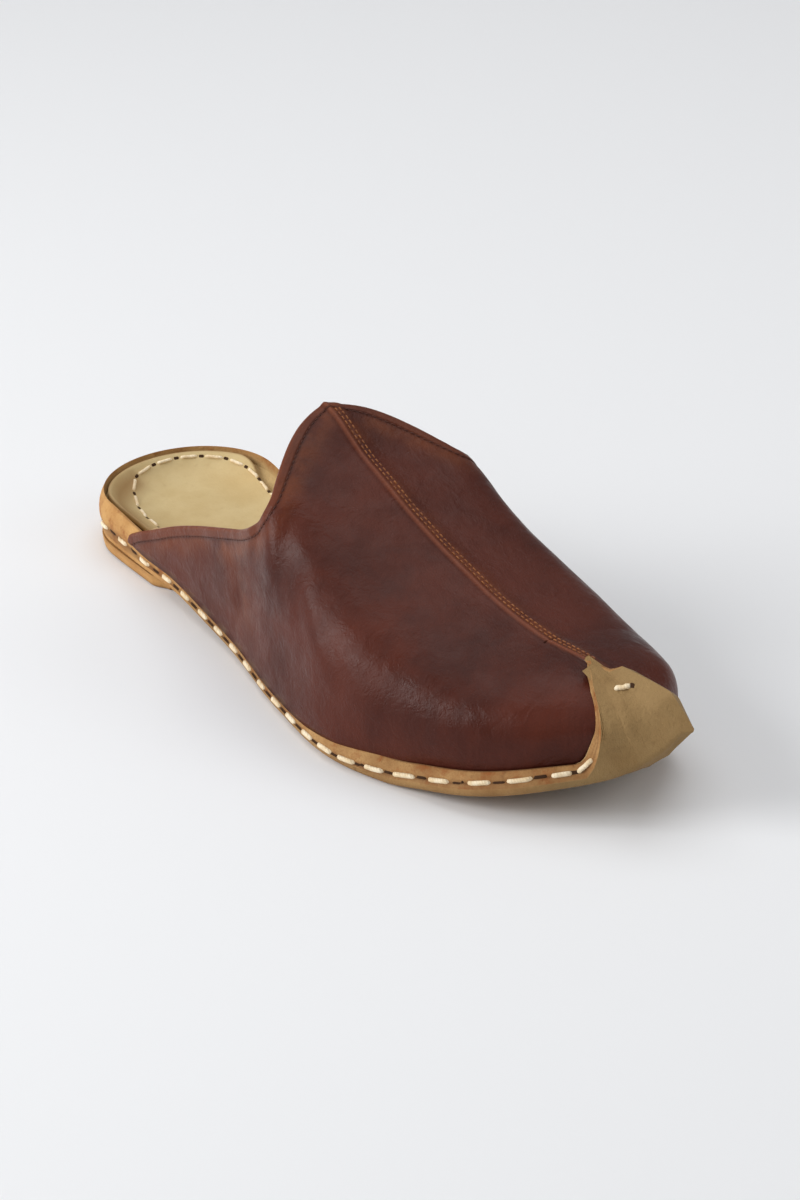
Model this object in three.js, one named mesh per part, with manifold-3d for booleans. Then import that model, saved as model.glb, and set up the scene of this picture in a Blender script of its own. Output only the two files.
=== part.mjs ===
// Babouche slipper, right shoe: a soft leather upper on a turned-up leather sole.
// Millimetres. +X points to the toe, +Y to the wearer's left (the inner side), +Z up.
// The floor is z = 0 and the origin is under the middle of the heel seat.
import * as THREE from 'three';
import Module from 'manifold-3d';

const wasm = await Module();
wasm.setup();

// Driving dimensions
const length = 285;            // heel back to the turned-up nose
const ballWidth = 93;          // outsole across the ball of the foot
const heelWidth = 65;          // outsole across the heel seat
const heelDepth = 29;          // heel back to the middle of the heel seat
const noseSwing = 20.5;        // the nose lies this far towards the inner side
const noseHeight = 36;         // floor to the corner of the nose
const peakHeight = 81;         // floor to the tip of the throat peak
const toeBoxHeight = 39;       // floor to the vamp under the tip of the toe flap
const soleLeather = 4.5;       // thickness of the outsole
const rimHeight = 8.2;         // outsole bottom to the top of its rim, at the ball
const heelRimHeight = 15.2;    // the same at the heel
const rimWidth = 4;            // width of the slanted cut edge that carries the stitches
const heelLift = 4.4;          // thickness of the heel lift
const heelLiftLength = 62;     // heel back to the breast of the lift
const heelLiftInset = 1.3;     // the lift stands back from the outline
const insoleThickness = 2.5;
const insoleLip = 0.6;         // the insole's upper edge is bevelled by this much
const insoleToeGap = 14;       // the insole ends this much further back under the toe
const insoleBed = 0.45;        // gap under the insole
const wall = 2;                // upper leather with its lining
const hemWidth = 4;            // folded edge along the collar
const hemStep = 0.5;           // the hem stands out this far on each face
const seamWidth = 5;           // raised seam along the ridge of the vamp
const seamHeight = 1.1;
const flapLeather = 3.8;       // thickness of the flap turned up over the toe
const flapTip = 1.4;           // width of the flap's blunt tip
const clearance = 0.3;         // gap between curved pieces that touch

const heelSeat = heelLift + clearance;
const opened = 3 * wall;       // the upper's inner form runs on this far underneath

// Outline of the outsole: widths are shares of the ball width, places shares of the length.
const outline = [
  { at: 0.260, outer: 0.355, inner: 0.318 },
  { at: 0.400, outer: 0.386, inner: 0.340 },
  { at: 0.540, outer: 0.464, inner: 0.432 },
  { at: 0.670, outer: 0.496, inner: 0.504 },
  { at: 0.790, outer: 0.380, inner: 0.512 },
  { at: 0.845, outer: 0.308, inner: 0.492 },
];

// Toe outline beyond the table above, measured from the nose as shares of the nose swing.
const toeOutline = [
  { at: 0.890, outer: -0.95, inner: 2.02 },
  { at: 0.930, outer: -0.26, inner: 1.50 },
  { at: 0.965, outer: 0.42, inner: 1.19 },
];

// Underside of the outsole above its seat: lift is a share of the heel lift, spring of the nose height.
const underside = [
  { at: 0.000, lift: 1, spring: 0 },
  { at: 0.230, lift: 1, spring: 0 },
  { at: 0.340, lift: 0.42, spring: 0 },
  { at: 0.440, lift: 0.08, spring: 0 },
  { at: 0.500, lift: 0, spring: 0 },
  { at: 0.740, lift: 0, spring: 0 },
  { at: 0.790, lift: 0, spring: 0.055 },
  { at: 0.840, lift: 0, spring: 0.130 },
  { at: 0.890, lift: 0, spring: 0.245 },
  { at: 0.940, lift: 0, spring: 0.435 },
  { at: 1.000, lift: 0, spring: 0.950 },
];

// Edge of the outsole: corner is the height of its lower corner and round the radius under it, as
// shares of the rim height; tuck and lean are how far in that corner and the rim lie, in rim widths;
// rim runs from the ball rim (0) to the heel rim (1).
const edge = [
  { at: 0.000, corner: 0.12, round: 0.12, tuck: 0.30, lean: 0.55, rim: 1 },
  { at: 0.100, corner: 0.12, round: 0.12, tuck: 0.30, lean: 0.55, rim: 0.95 },
  { at: 0.180, corner: 0.16, round: 0.16, tuck: 0.20, lean: 0.65, rim: 0.6 },
  { at: 0.300, corner: 0.32, round: 0.30, tuck: 0.05, lean: 0.85, rim: 0.2 },
  { at: 0.450, corner: 0.40, round: 0.40, tuck: 0.00, lean: 1.00, rim: 0 },
  { at: 0.880, corner: 0.40, round: 0.40, tuck: 0.00, lean: 1.00, rim: 0 },
  { at: 1.000, corner: 0.30, round: 0.20, tuck: 0.00, lean: 1.00, rim: -0.45 },
];

// Dish of the outsole inside its rim: how far in from the rim, in rim widths, and the share of the
// cupping that is left there.
const dish = [
  { in: 0.15, rise: 0.97 },
  { in: 0.75, rise: 0.76 },
  { in: 1.75, rise: 0.32 },
  { in: 3.00, rise: 0.00 },
];

// Lower edge of the outsole: in is a share of its rounding, up a share of the corner's height.
const lowerEdge = [
  { in: 0.50, up: 0.16 },
  { in: 0.13, up: 0.50 },
];

// Slight bow of the slanted cut edge, as shares of its width and its rise; where the lower corner is
// tucked in, the bow swells out again by most of that.
const cutBow = { in: 0.55, up: 0.62, swell: 0.9 };

// Sections of the upper: top is its height between the toe box (0) and the peak (1) and widest
// the height of its widest line as a share of the peak height. For the outer and inner side,
// In is the distance of that line inside the outline in rim widths, and Box how boxy the arch is.
const sections = [
  { at: 0.000, top: 1.00, widest: 0.46, outerIn: 0.25, innerIn: 0.15, outerBox: 4.2, innerBox: 4.2 },
  { at: 0.300, top: 1.00, widest: 0.46, outerIn: 0.25, innerIn: -0.20, outerBox: 4.2, innerBox: 4.2 },
  { at: 0.409, top: 1.00, widest: 0.44, outerIn: 0.25, innerIn: -0.55, outerBox: 4.2, innerBox: 5.5 },
  { at: 0.500, top: 0.73, widest: 0.38, outerIn: 0.35, innerIn: -0.60, outerBox: 4.0, innerBox: 6.0 },
  { at: 0.560, top: 0.56, widest: 0.31, outerIn: 0.50, innerIn: -0.30, outerBox: 3.2, innerBox: 4.6 },
  { at: 0.640, top: 0.34, widest: 0.26, outerIn: 0.60, innerIn: 0.00, outerBox: 2.8, innerBox: 3.9 },
  { at: 0.712, top: 0.175, widest: 0.24, outerIn: 0.65, innerIn: 0.10, outerBox: 2.6, innerBox: 3.7 },
  { at: 0.790, top: 0.06, widest: 0.24, outerIn: 0.80, innerIn: 0.20, outerBox: 2.4, innerBox: 3.4 },
  { at: 0.865, top: 0.00, widest: 0.26, outerIn: 1.12, innerIn: 0.25, outerBox: 2.3, innerBox: 3.2 },
  { at: 0.940, top: 0.00, widest: 0.33, outerIn: 1.15, innerIn: 0.80, outerBox: 2.2, innerBox: 2.6 },
  { at: 1.000, top: 0.00, widest: 0.44, outerIn: 1.15, innerIn: 1.15, outerBox: 2.1, innerBox: 2.1 },
];

// Collar of each side seen from that side: place as a share of the length, height of the peak height.
const outerCollar = [
  { at: 0.143, height: 0.060 },
  { at: 0.147, height: 0.160 },
  { at: 0.168, height: 0.212 },
  { at: 0.205, height: 0.275 },
  { at: 0.256, height: 0.362 },
  { at: 0.318, height: 0.453 },
  { at: 0.397, height: 0.560 },
  { at: 0.437, height: 0.620 },
  { at: 0.468, height: 0.690 },
  { at: 0.486, height: 0.770 },
  { at: 0.494, height: 0.850 },
];
const innerCollar = [
  { at: 0.166, height: 0.060 },
  { at: 0.170, height: 0.165 },
  { at: 0.190, height: 0.260 },
  { at: 0.215, height: 0.340 },
  { at: 0.258, height: 0.430 },
  { at: 0.300, height: 0.490 },
  { at: 0.386, height: 0.565 },
  { at: 0.440, height: 0.620 },
  { at: 0.478, height: 0.680 },
  { at: 0.500, height: 0.750 },
  { at: 0.509, height: 0.840 },
];

// Throat seen from above: side is a share of the ball width, the places on the outer and inner
// side are shares of the length.
const throat = [
  { side: 0.000, outer: 0.408, inner: 0.408 },
  { side: 0.040, outer: 0.411, inner: 0.411 },
  { side: 0.115, outer: 0.423, inner: 0.424 },
  { side: 0.190, outer: 0.440, inner: 0.443 },
  { side: 0.260, outer: 0.458, inner: 0.465 },
  { side: 0.325, outer: 0.475, inner: 0.487 },
  { side: 0.375, outer: 0.486, inner: 0.503 },
  { side: 0.420, outer: 0.492, inner: 0.511 },
];

// Flap of sole leather over the toe, seen from above: its tip on the ridge and its bases on the
// outer and inner outline. A bow moves the middle of an edge; below zero it hollows the flap.
const flap = { tipAt: 0.862, outerAt: 0.943, innerAt: 0.962, outerBow: -2.0, innerBow: -1.5 };
const flapSteps = 12;

// Number of ribs: fans round the heel and toe, and stations between them. Steps are along curves.
const heelRibs = 9;
const waistRibs = 21;
const toeRibs = 16;
const collarSteps = 30;
const throatSteps = 36;
const outlineSteps = 600;
const heelArcSteps = 6;

const ridgeSwingFrom = 0.45;
const ridgeSwingPower = 1.6;
const toeCentre = 0.80;

const smoothLine = (points, count) => new THREE.SplineCurve(points).getPoints(count);

// Reads one column of a table at a share of the length, smoothly between its rows.
function column(table, name, at) {
  const last = table.length - 1;
  if (at <= table[0].at) return table[0][name];
  if (at >= table[last].at) return table[last][name];
  let row = 0;
  while (table[row + 1].at < at) row += 1;
  const slope = (from, to) => (table[to][name] - table[from][name]) / (table[to].at - table[from].at);
  const here = slope(row, row + 1);
  const blend = (a, b) => (a * b <= 0 ? 0 : (2 * a * b) / (a + b));
  const startSlope = row > 0 ? blend(slope(row - 1, row), here) : here;
  const endSlope = row + 1 < last ? blend(here, slope(row + 1, row + 2)) : here;
  const span = table[row + 1].at - table[row].at;
  const t = (at - table[row].at) / span;
  const start = table[row][name];
  const end = table[row + 1][name];
  const h = (1 - t) * (1 - t) * (1 + 2 * t) * start + t * t * (3 - 2 * t) * end;
  return h + span * (t * (1 - t) * (1 - t) * startSlope - t * t * (1 - t) * endSlope);
}

const undersideAt = (x) => {
  const at = x / length;
  return heelSeat * column(underside, 'lift', at) + noseHeight * column(underside, 'spring', at);
};

const rimAt = (x) => THREE.MathUtils.lerp(rimHeight, heelRimHeight, column(edge, 'rim', x / length));

function ridgeSide(x) {
  const share = Math.max(0, (x / length - ridgeSwingFrom) / (1 - ridgeSwingFrom));
  return noseSwing * share ** ridgeSwingPower;
}

// Smooth curve of one side of the outline from the heel arc to the nose.
function sideCurve(name, sign) {
  const points = [];
  for (let i = 0; i <= heelArcSteps; i += 1) {
    const a = (Math.PI / 2) * (i / heelArcSteps);
    const x = heelDepth * (1 - Math.cos(a));
    points.push(new THREE.Vector3(x, sign * (heelWidth / 2) * Math.sin(a), 0));
  }
  for (const row of outline) {
    points.push(new THREE.Vector3(row.at * length, sign * row[name] * ballWidth, 0));
  }
  for (const row of toeOutline) points.push(new THREE.Vector3(row.at * length, row[name] * noseSwing, 0));
  points.push(new THREE.Vector3(length, noseSwing, 0));
  return new THREE.CatmullRomCurve3(points, false, 'centripetal').getPoints(outlineSteps);
}

const outerSide = sideCurve('outer', -1);
const innerSide = sideCurve('inner', 1);

function sideAt(points, x) {
  let i = 1;
  while (i < points.length - 1 && points[i].x < x) i += 1;
  const t = (x - points[i - 1].x) / Math.max(1e-9, points[i].x - points[i - 1].x);
  return THREE.MathUtils.lerp(points[i - 1].y, points[i].y, THREE.MathUtils.clamp(t, 0, 1));
}

// A rib runs on the plan from its foot on the centre line to its end on the outline.
function makeRib(foot, end) {
  const reach = Math.hypot(end.x - foot.x, end.y - foot.y);
  return { foot, end, reach, dx: (end.x - foot.x) / reach, dy: (end.y - foot.y) / reach };
}

function onRib(rib, inset, z) {
  const along = Math.max(0, rib.reach - inset);
  return new THREE.Vector3(rib.foot.x + rib.dx * along, rib.foot.y + rib.dy * along, z);
}

// One side's ribs in order from the heel back to just before the nose.
function sideRibs(points, sign) {
  const ribs = [];
  const heelFoot = { x: heelDepth, y: 0 };
  const toeFoot = { x: toeCentre * length, y: ridgeSide(toeCentre * length) };
  for (let i = 0; i < heelRibs; i += 1) {
    const a = (Math.PI / 2) * (i / heelRibs);
    const end = { x: heelDepth * (1 - Math.cos(a)), y: sign * (heelWidth / 2) * Math.sin(a) };
    ribs.push(makeRib(heelFoot, end));
  }
  for (let i = 0; i < waistRibs; i += 1) {
    const x = THREE.MathUtils.lerp(heelDepth, toeFoot.x, i / waistRibs);
    ribs.push(makeRib({ x, y: ridgeSide(x) }, { x, y: sideAt(points, x) }));
  }
  const toe = points.filter((p) => p.x >= toeFoot.x);
  const steps = [0];
  for (let i = 1; i < toe.length; i += 1) steps.push(steps[i - 1] + toe[i].distanceTo(toe[i - 1]));
  for (let i = 0; i < toeRibs; i += 1) {
    const want = steps[steps.length - 1] * (i / toeRibs);
    const k = steps.findIndex((s) => s >= want);
    ribs.push(makeRib(toeFoot, toe[k]));
  }
  return ribs;
}

const outerRibs = sideRibs(outerSide, -1);
const innerRibs = sideRibs(innerSide, 1);
const noseRib = makeRib(outerRibs[outerRibs.length - 1].foot, { x: length, y: noseSwing });
const ribs = [...outerRibs, noseRib, ...innerRibs.slice(1).reverse()];

// Skin between closed rings of points; points that fall together become one.
function skin(rings, closed = true) {
  const ids = new Map();
  const positions = [];
  const index = [];
  const idOf = (p) => {
    const key = `${Math.round(p.x * 1e3)},${Math.round(p.y * 1e3)},${Math.round(p.z * 1e3)}`;
    if (!ids.has(key)) {
      ids.set(key, positions.length / 3);
      positions.push(p.x, p.y, p.z);
    }
    return ids.get(key);
  };
  const triangle = (a, b, c) => {
    if (a !== b && b !== c && c !== a) index.push(a, b, c);
  };
  const last = closed ? rings[0].length : rings[0].length - 1;
  for (let k = 0; k + 1 < rings.length; k += 1) {
    for (let i = 0; i < last; i += 1) {
      const j = (i + 1) % rings[0].length;
      const a = idOf(rings[k][i]);
      const b = idOf(rings[k][j]);
      const c = idOf(rings[k + 1][j]);
      const d = idOf(rings[k + 1][i]);
      triangle(a, b, c);
      triangle(a, c, d);
    }
  }
  const geometry = new THREE.BufferGeometry();
  geometry.setAttribute('position', new THREE.Float32BufferAttribute(positions, 3));
  geometry.setIndex(index);
  geometry.userData.idOf = idOf;
  return geometry;
}

function solidOf(geometry) {
  const merged = geometry.index ? geometry : indexed(geometry);
  const position = merged.getAttribute('position');
  const vertProperties = new Float32Array(position.array);
  const triVerts = new Uint32Array(merged.index.array);
  const solid = new wasm.Manifold(new wasm.Mesh({ numProp: 3, vertProperties, triVerts }));
  return solid.volume() < 0 ? solidOf(flipped(merged)) : solid;
}

function indexed(geometry) {
  const position = geometry.getAttribute('position');
  const corners = [];
  for (let i = 0; i < position.count; i += 1) {
    corners.push(new THREE.Vector3().fromBufferAttribute(position, i));
  }
  const ids = new Map();
  const positions = [];
  const index = [];
  for (let t = 0; t < corners.length; t += 3) {
    const corner = corners.slice(t, t + 3).map((p) => {
      const key = `${p.x.toFixed(3)},${p.y.toFixed(3)},${p.z.toFixed(3)}`;
      if (!ids.has(key)) {
        ids.set(key, positions.length / 3);
        positions.push(p.x, p.y, p.z);
      }
      return ids.get(key);
    });
    if (new Set(corner).size === 3) index.push(...corner);
  }
  const out = new THREE.BufferGeometry();
  out.setAttribute('position', new THREE.Float32BufferAttribute(positions, 3));
  out.setIndex(index);
  return out;
}

function flipped(geometry) {
  const out = geometry.clone();
  const index = out.index.array;
  for (let t = 0; t < index.length; t += 3) [index[t + 1], index[t + 2]] = [index[t + 2], index[t + 1]];
  return out;
}

function geometryOf(solid) {
  const mesh = solid.getMesh();
  const geometry = new THREE.BufferGeometry();
  const positions = new Float32Array(mesh.numVert * 3);
  for (let i = 0; i < mesh.numVert; i += 1) {
    for (let k = 0; k < 3; k += 1) positions[3 * i + k] = mesh.vertProperties[mesh.numProp * i + k];
  }
  geometry.setAttribute('position', new THREE.BufferAttribute(positions, 3));
  geometry.setIndex(new THREE.BufferAttribute(new Uint32Array(mesh.triVerts), 1));
  return geometry;
}

// Height of the dish's floor along a rib, straight between the places where its rings run.
function dishKnots(rib) {
  const cup = Math.max(0, rimAt(rib.end.x) - rimHeight);
  const lean = rimWidth * column(edge, 'lean', rib.end.x / length);
  const knots = dish.map((row) => ({ inset: lean + rimWidth * row.in, rise: cup * row.rise }));
  const lastInset = knots[knots.length - 1].inset;
  knots.push({ inset: (lastInset + rib.reach) / 2, rise: 0 }, { inset: rib.reach, rise: 0 });
  return knots.map(({ inset, rise }) => {
    const z = undersideAt(onRib(rib, inset, 0).x) + soleLeather + rise;
    return { inset, z };
  });
}

function dishFloor(rib, inset) {
  const knots = dishKnots(rib);
  let k = 0;
  while (k < knots.length - 2 && knots[k + 1].inset < inset) k += 1;
  const t = (inset - knots[k].inset) / (knots[k + 1].inset - knots[k].inset);
  return THREE.MathUtils.lerp(knots[k].z, knots[k + 1].z, t);
}

// Outsole: rings over the underside, round the edge, over the slanted cut edge and into the dish.
// With forms, it also climbs their outer face to the edge of the flap and comes down the inner one.
function outsoleRings(spare, forms) {
  const columns = ribs.map((rib) => {
    const x = rib.end.x;
    const rim = rimAt(x);
    const corner = rim * column(edge, 'corner', x / length);
    const round = rim * column(edge, 'round', x / length);
    const under = (inset, lift) => {
      const p = onRib(rib, inset, 0);
      p.z = undersideAt(p.x) + lift;
      return p;
    };
    const tuck = rimWidth * column(edge, 'tuck', x / length);
    const lean = rimWidth * column(edge, 'lean', x / length);
    const flat = [rib.reach, rib.reach / 2, tuck + round].map((inset) => under(inset, 0));
    const rounding = lowerEdge.map((row) => under(tuck + round * row.in, corner * row.up));
    const cornerPoint = under(tuck, corner);
    const rimPoint = under(lean + spare, rim + spare);
    const bowInset = THREE.MathUtils.lerp(tuck, lean, cutBow.in) - cutBow.swell * tuck;
    const bow = under(bowInset, THREE.MathUtils.lerp(corner, rim, cutBow.up));
    const inside = dishKnots(rib).map(({ inset, z }) => onRib(rib, inset + spare, z + spare));
    return { flat, rounding, cornerPoint, bow, rimPoint, inside };
  });
  return ringsOf(columns.map((c, i) => {
    const start = [...c.flat, ...c.rounding];
    if (!forms) return [...start, c.cornerPoint, c.bow, c.rimPoint, ...c.inside];
    const outer = climb(forms.outer, i, c.cornerPoint);
    const inner = climb(forms.inner, i, c.rimPoint);
    const top = flapLevel(ribs[i], forms.edge, outer);
    const levels = outer.map((_, k) => Math.min(k, top));
    const up = levels.map((level) => atLevel(outer, level));
    const down = levels.map((level) => atLevel(inner, level)).reverse();
    const middle = top > 0 ? up[up.length - 1].clone().lerp(down[0], 0.5) : c.bow;
    return [...start, ...up, middle, ...down, ...c.inside];
  }));
}

const ringsOf = (columns) => columns[0].map((_, k) => columns.map((points) => points[k]));

// Upper: rings from its foot inside the rim, out to the widest line and over to the ridge.
const riseShares = [0, 0.3, 0.65];
const archAngles = [0, 11, 22, 32, 41, 49, 57, 65, 73, 80.5];
const seamSides = [seamWidth / 2, seamWidth / 4, 0];
const roof = 0.03;
const footInset = rimWidth * (1 + dish[0].in) + clearance;

function upperRings() {
  const rings = [];
  const levels = 1 + riseShares.length + archAngles.length + seamSides.length;
  for (let k = 0; k < levels; k += 1) rings.push([]);
  for (const rib of ribs) {
    const at = rib.end.x / length;
    const footAt = rib.foot.x / length;
    const top = THREE.MathUtils.lerp(toeBoxHeight, peakHeight, column(sections, 'top', footAt));
    const widest = peakHeight * column(sections, 'widest', at);
    const side = rib.dy < 0 ? 'outer' : 'inner';
    const inset = rimWidth * column(sections, `${side}In`, at);
    const square = column(sections, `${side}Box`, at);
    const footPoint = onRib(rib, footInset, 0);
    const base = dishFloor(rib, footInset) + clearance;
    const rimTop = undersideAt(footPoint.x) + rimAt(rib.end.x) + clearance;
    const wide = Math.max(widest, rimTop + wall);
    rings[0].push(onRib(rib, footInset, base));
    riseShares.forEach((share, k) => {
      const bow = THREE.MathUtils.lerp(inset, footInset, 1 - Math.sin((Math.PI / 2) * share));
      rings[1 + k].push(onRib(rib, bow, THREE.MathUtils.lerp(rimTop, wide, share)));
    });
    const reach = rib.reach - inset;
    const arch = (u) => {
      const full = (1 - Math.min(1, u) ** square) ** (1 / square) - roof * Math.sin(Math.PI * u);
      return wide + (top - wide) * full;
    };
    archAngles.forEach((angle, k) => {
      const a = THREE.MathUtils.degToRad(angle);
      const size = (Math.cos(a) ** square + Math.sin(a) ** square) ** (-1 / square);
      const u = size * Math.cos(a);
      rings[1 + riseShares.length + k].push(onRib(rib, rib.reach - u * reach, arch(u)));
    });
    const from = 1 + riseShares.length + archAngles.length;
    seamSides.forEach((beside, k) => {
      rings[from + k].push(onRib(rib, rib.reach - beside, arch(beside / reach)));
    });
  }
  return rings;
}

const smoothUpper = upperRings();
const widestRing = 1 + riseShares.length;

// Moves the rings of the upper out (or, below zero, in) along its own surface.
function grown(rings, distance) {
  const geometry = skin(rings);
  geometry.computeVertexNormals();
  const normal = geometry.getAttribute('normal');
  const sample = rings[widestRing][waistRibs];
  const across = new THREE.Vector3().fromBufferAttribute(normal, geometry.userData.idOf(sample));
  const sign = across.y * sample.y > 0 ? 1 : -1;
  return rings.map((ring, k) => ring.map((p, i) => {
    const n = new THREE.Vector3().fromBufferAttribute(normal, geometry.userData.idOf(p));
    n.multiplyScalar(sign);
    if (k === 0) n.setZ(0).normalize();
    const by = typeof distance === 'function' ? distance(k, i) : distance;
    return p.clone().addScaledVector(n, by);
  }));
}

// Points of a form up one rib: straight from a base to the widest line, then over the arch.
function climb(form, i, base) {
  const wide = form[widestRing][i];
  const rise = riseShares.map((share) => base.clone().lerp(wide, share));
  return [...rise, ...form.slice(widestRing).map((ring) => ring[i])];
}

function atLevel(points, level) {
  const k = Math.min(points.length - 2, Math.floor(level));
  return points[k].clone().lerp(points[k + 1], level - k);
}

// Plan of the flap's edge from its outer base on the outline to its tip and on to its inner base.
function flapEdge() {
  const base = (points, at) => new THREE.Vector2(at * length, sideAt(points, at * length));
  const tip = (side) => new THREE.Vector2(flap.tipAt * length, ridgeSide(flap.tipAt * length) + side);
  const bowed = (from, to, by) => {
    const across = new THREE.Vector2(from.y - to.y, to.x - from.x).normalize().multiplyScalar(by);
    return from.clone().lerp(to, 0.5).add(across);
  };
  const outer = [base(outerSide, flap.outerAt), tip(-flapTip / 2)];
  const inner = [tip(flapTip / 2), base(innerSide, flap.innerAt)];
  return [
    ...smoothLine([outer[0], bowed(...outer, flap.outerBow), outer[1]], flapSteps),
    ...smoothLine([inner[0], bowed(...inner, flap.innerBow), inner[1]], flapSteps),
  ];
}

// How far up its form the flap reaches on a rib, in rings above its base.
function flapLevel(rib, line, outer) {
  if (rib.foot.x < toeCentre * length) return 0;
  const across = (p) => rib.dx * (p.y - rib.foot.y) - rib.dy * (p.x - rib.foot.x);
  const ahead = (p) => rib.dx * (p.x - rib.foot.x) + rib.dy * (p.y - rib.foot.y);
  const k = line.findIndex((p, n) => n > 0 && ahead(p) > 0 && across(line[n - 1]) * across(p) <= 0);
  if (k < 0) return 0;
  const a = across(line[k - 1]);
  const b = across(line[k]);
  const reach = THREE.MathUtils.lerp(ahead(line[k - 1]), ahead(line[k]), a === b ? 0 : a / (a - b));
  let level = 0;
  while (level + 2 < outer.length && ahead(outer[level + 1]) > reach) level += 1;
  const from = Math.min(rib.reach, ahead(outer[level]));
  const to = ahead(outer[level + 1]);
  return level + THREE.MathUtils.clamp((from - reach) / Math.max(1e-6, from - to), 0, 1);
}

// Closes the rings of the upper underneath with a floor at a distance below its foot.
function closedUpper(rings, drop) {
  const centre = ribs.map(({ foot }) => {
    return new THREE.Vector3(foot.x, foot.y, undersideAt(foot.x) + soleLeather + clearance - drop);
  });
  const foot = rings[0].map((p) => new THREE.Vector3(p.x, p.y, p.z - drop));
  return solidOf(skin(drop > 0 ? [centre, foot, ...rings] : [centre, ...rings]));
}

// The raised seam runs along the ridge as far as the ribs do that cross it.
const seamRise = [1, 0.75];
const seamBump = (k, i) => {
  const fromRidge = smoothUpper.length - 1 - k;
  const crossed = ribs[i].foot.x < toeCentre * length ? 1 : 0;
  return crossed * seamHeight * (seamRise[fromRidge] ?? 0);
};

// Prisms that cut the collar and throat; grow widens them for the hem.
function prism(points, from, to, upright) {
  const shape = new THREE.Shape(points);
  const geometry = new THREE.ExtrudeGeometry(shape, { depth: to - from, bevelEnabled: false, steps: 1 });
  geometry.translate(0, 0, from);
  if (!upright) geometry.rotateX(Math.PI / 2);
  return solidOf(geometry);
}

function offsetLine(points, distance) {
  return points.map((p, i) => {
    const before = points[Math.max(0, i - 1)];
    const after = points[Math.min(points.length - 1, i + 1)];
    const along = new THREE.Vector2().subVectors(after, before).normalize();
    return new THREE.Vector2(p.x + along.y * distance, p.y - along.x * distance);
  });
}

const far = 3 * length;
const overlap = 1;             // the cuts of the two sides share this much at the middle

function collarCut(grow) {
  const sideCut = (table, from, to) => {
    const points = table.map((row) => new THREE.Vector2(row.at * length, row.height * peakHeight));
    const side = offsetLine(smoothLine(points, collarSteps), grow);
    const end = side[side.length - 1];
    return prism([
      new THREE.Vector2(side[0].x, -far),
      ...side,
      new THREE.Vector2(end.x, far),
      new THREE.Vector2(-far, far),
      new THREE.Vector2(-far, -far),
    ], from, to, false);
  };
  const half = (name, sign) => throat.map((row) => {
    return new THREE.Vector2(row[name] * length, sign * row.side * ballWidth);
  });
  const line = smoothLine([...half('outer', -1).slice(1).reverse(), ...half('inner', 1)], throatSteps);
  const plan = offsetLine(line, grow);
  const planCut = prism([
    ...plan,
    new THREE.Vector2(plan[plan.length - 1].x, far),
    new THREE.Vector2(-far, far),
    new THREE.Vector2(-far, -far),
    new THREE.Vector2(plan[0].x, -far),
  ], -far, far, true);
  const sides = sideCut(outerCollar, -overlap, far).add(sideCut(innerCollar, -far, overlap));
  return sides.intersect(planCut);
}

const seamed = grown(smoothUpper, seamBump);
const upperOutside = closedUpper(seamed, 0);
const upperInside = closedUpper(grown(smoothUpper, -wall), opened);
const hemOutside = closedUpper(grown(smoothUpper, (k, i) => seamBump(k, i) + hemStep), 0);
const hemInside = closedUpper(grown(smoothUpper, -wall - hemStep), opened);
const throatCut = collarCut(0);
const hemZone = collarCut(hemWidth);
const rimGuard = solidOf(skin(outsoleRings(1.3 * clearance)));

const shell = upperOutside.subtract(upperInside);
const hem = hemOutside.subtract(hemInside).intersect(hemZone);
const upperSolid = shell.add(hem).subtract(throatCut).subtract(rimGuard);

// The outsole turns up over the toe: its flap lies between two forms grown from the upper.
const toeForms = {
  outer: grown(smoothUpper, clearance + flapLeather),
  inner: grown(smoothUpper, clearance),
  edge: flapEdge(),
};
const upperRoom = closedUpper(toeForms.inner, 0);
const outsoleSolid = solidOf(skin(outsoleRings(0, toeForms))).subtract(upperRoom);

// Heel lift: a slab under the heel seat with an upright breast.
function heelLiftGeometry() {
  const heel = ribs.filter((rib) => rib.end.x <= heelLiftLength);
  const line = heel.map((rib) => onRib(rib, heelLiftInset, 0));
  const outer = line.filter((p) => p.y <= 0);
  const inner = line.filter((p) => p.y > 0);
  const outerEnd = new THREE.Vector2(heelLiftLength, sideAt(outerSide, heelLiftLength) + heelLiftInset);
  const innerEnd = new THREE.Vector2(heelLiftLength, sideAt(innerSide, heelLiftLength) - heelLiftInset);
  const shape = new THREE.Shape([
    ...outer.map((p) => new THREE.Vector2(p.x, p.y)),
    outerEnd,
    innerEnd,
    ...inner.map((p) => new THREE.Vector2(p.x, p.y)),
  ]);
  return new THREE.ExtrudeGeometry(shape, { depth: heelLift, bevelEnabled: false, steps: 1 });
}

// Insole: a thin bed that follows the dish and stops short of the rim, or of the upper's foot.
const insoleNarrows = { from: 0.09, to: 0.13 };
const insoleToe = { from: 0.86, to: 0.94 };
const besideRim = 0.32;
function insoleRings() {
  const rings = [];
  const levels = 12;
  for (let k = 0; k < levels; k += 1) rings.push([]);
  for (const rib of ribs) {
    const at = rib.end.x / length;
    const toUpper = THREE.MathUtils.smoothstep(at, insoleNarrows.from, insoleNarrows.to);
    const toToe = THREE.MathUtils.smoothstep(at, insoleToe.from, insoleToe.to);
    const besideUpper = footInset + wall + 3 * clearance + insoleToeGap * toToe;
    const lean = rimWidth * column(edge, 'lean', at);
    const inset = THREE.MathUtils.lerp(lean + besideRim * rimWidth, besideUpper, toUpper);
    const bed = (from, lift) => onRib(rib, from, dishFloor(rib, from) + insoleBed + lift);
    const steps = dishKnots(rib).slice(1, 5).map(({ inset: from }, k) => Math.max(inset + 1 + k, from));
    const under = [rib.reach, ...[...steps].reverse(), inset].map((from) => bed(from, 0));
    const lip = bed(inset + insoleLip, insoleThickness - insoleLip);
    const over = [...steps, rib.reach].map((from) => bed(from, insoleThickness));
    [...under, lip, ...over].forEach((p, k) => rings[k].push(p));
  }
  return rings;
}

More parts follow.
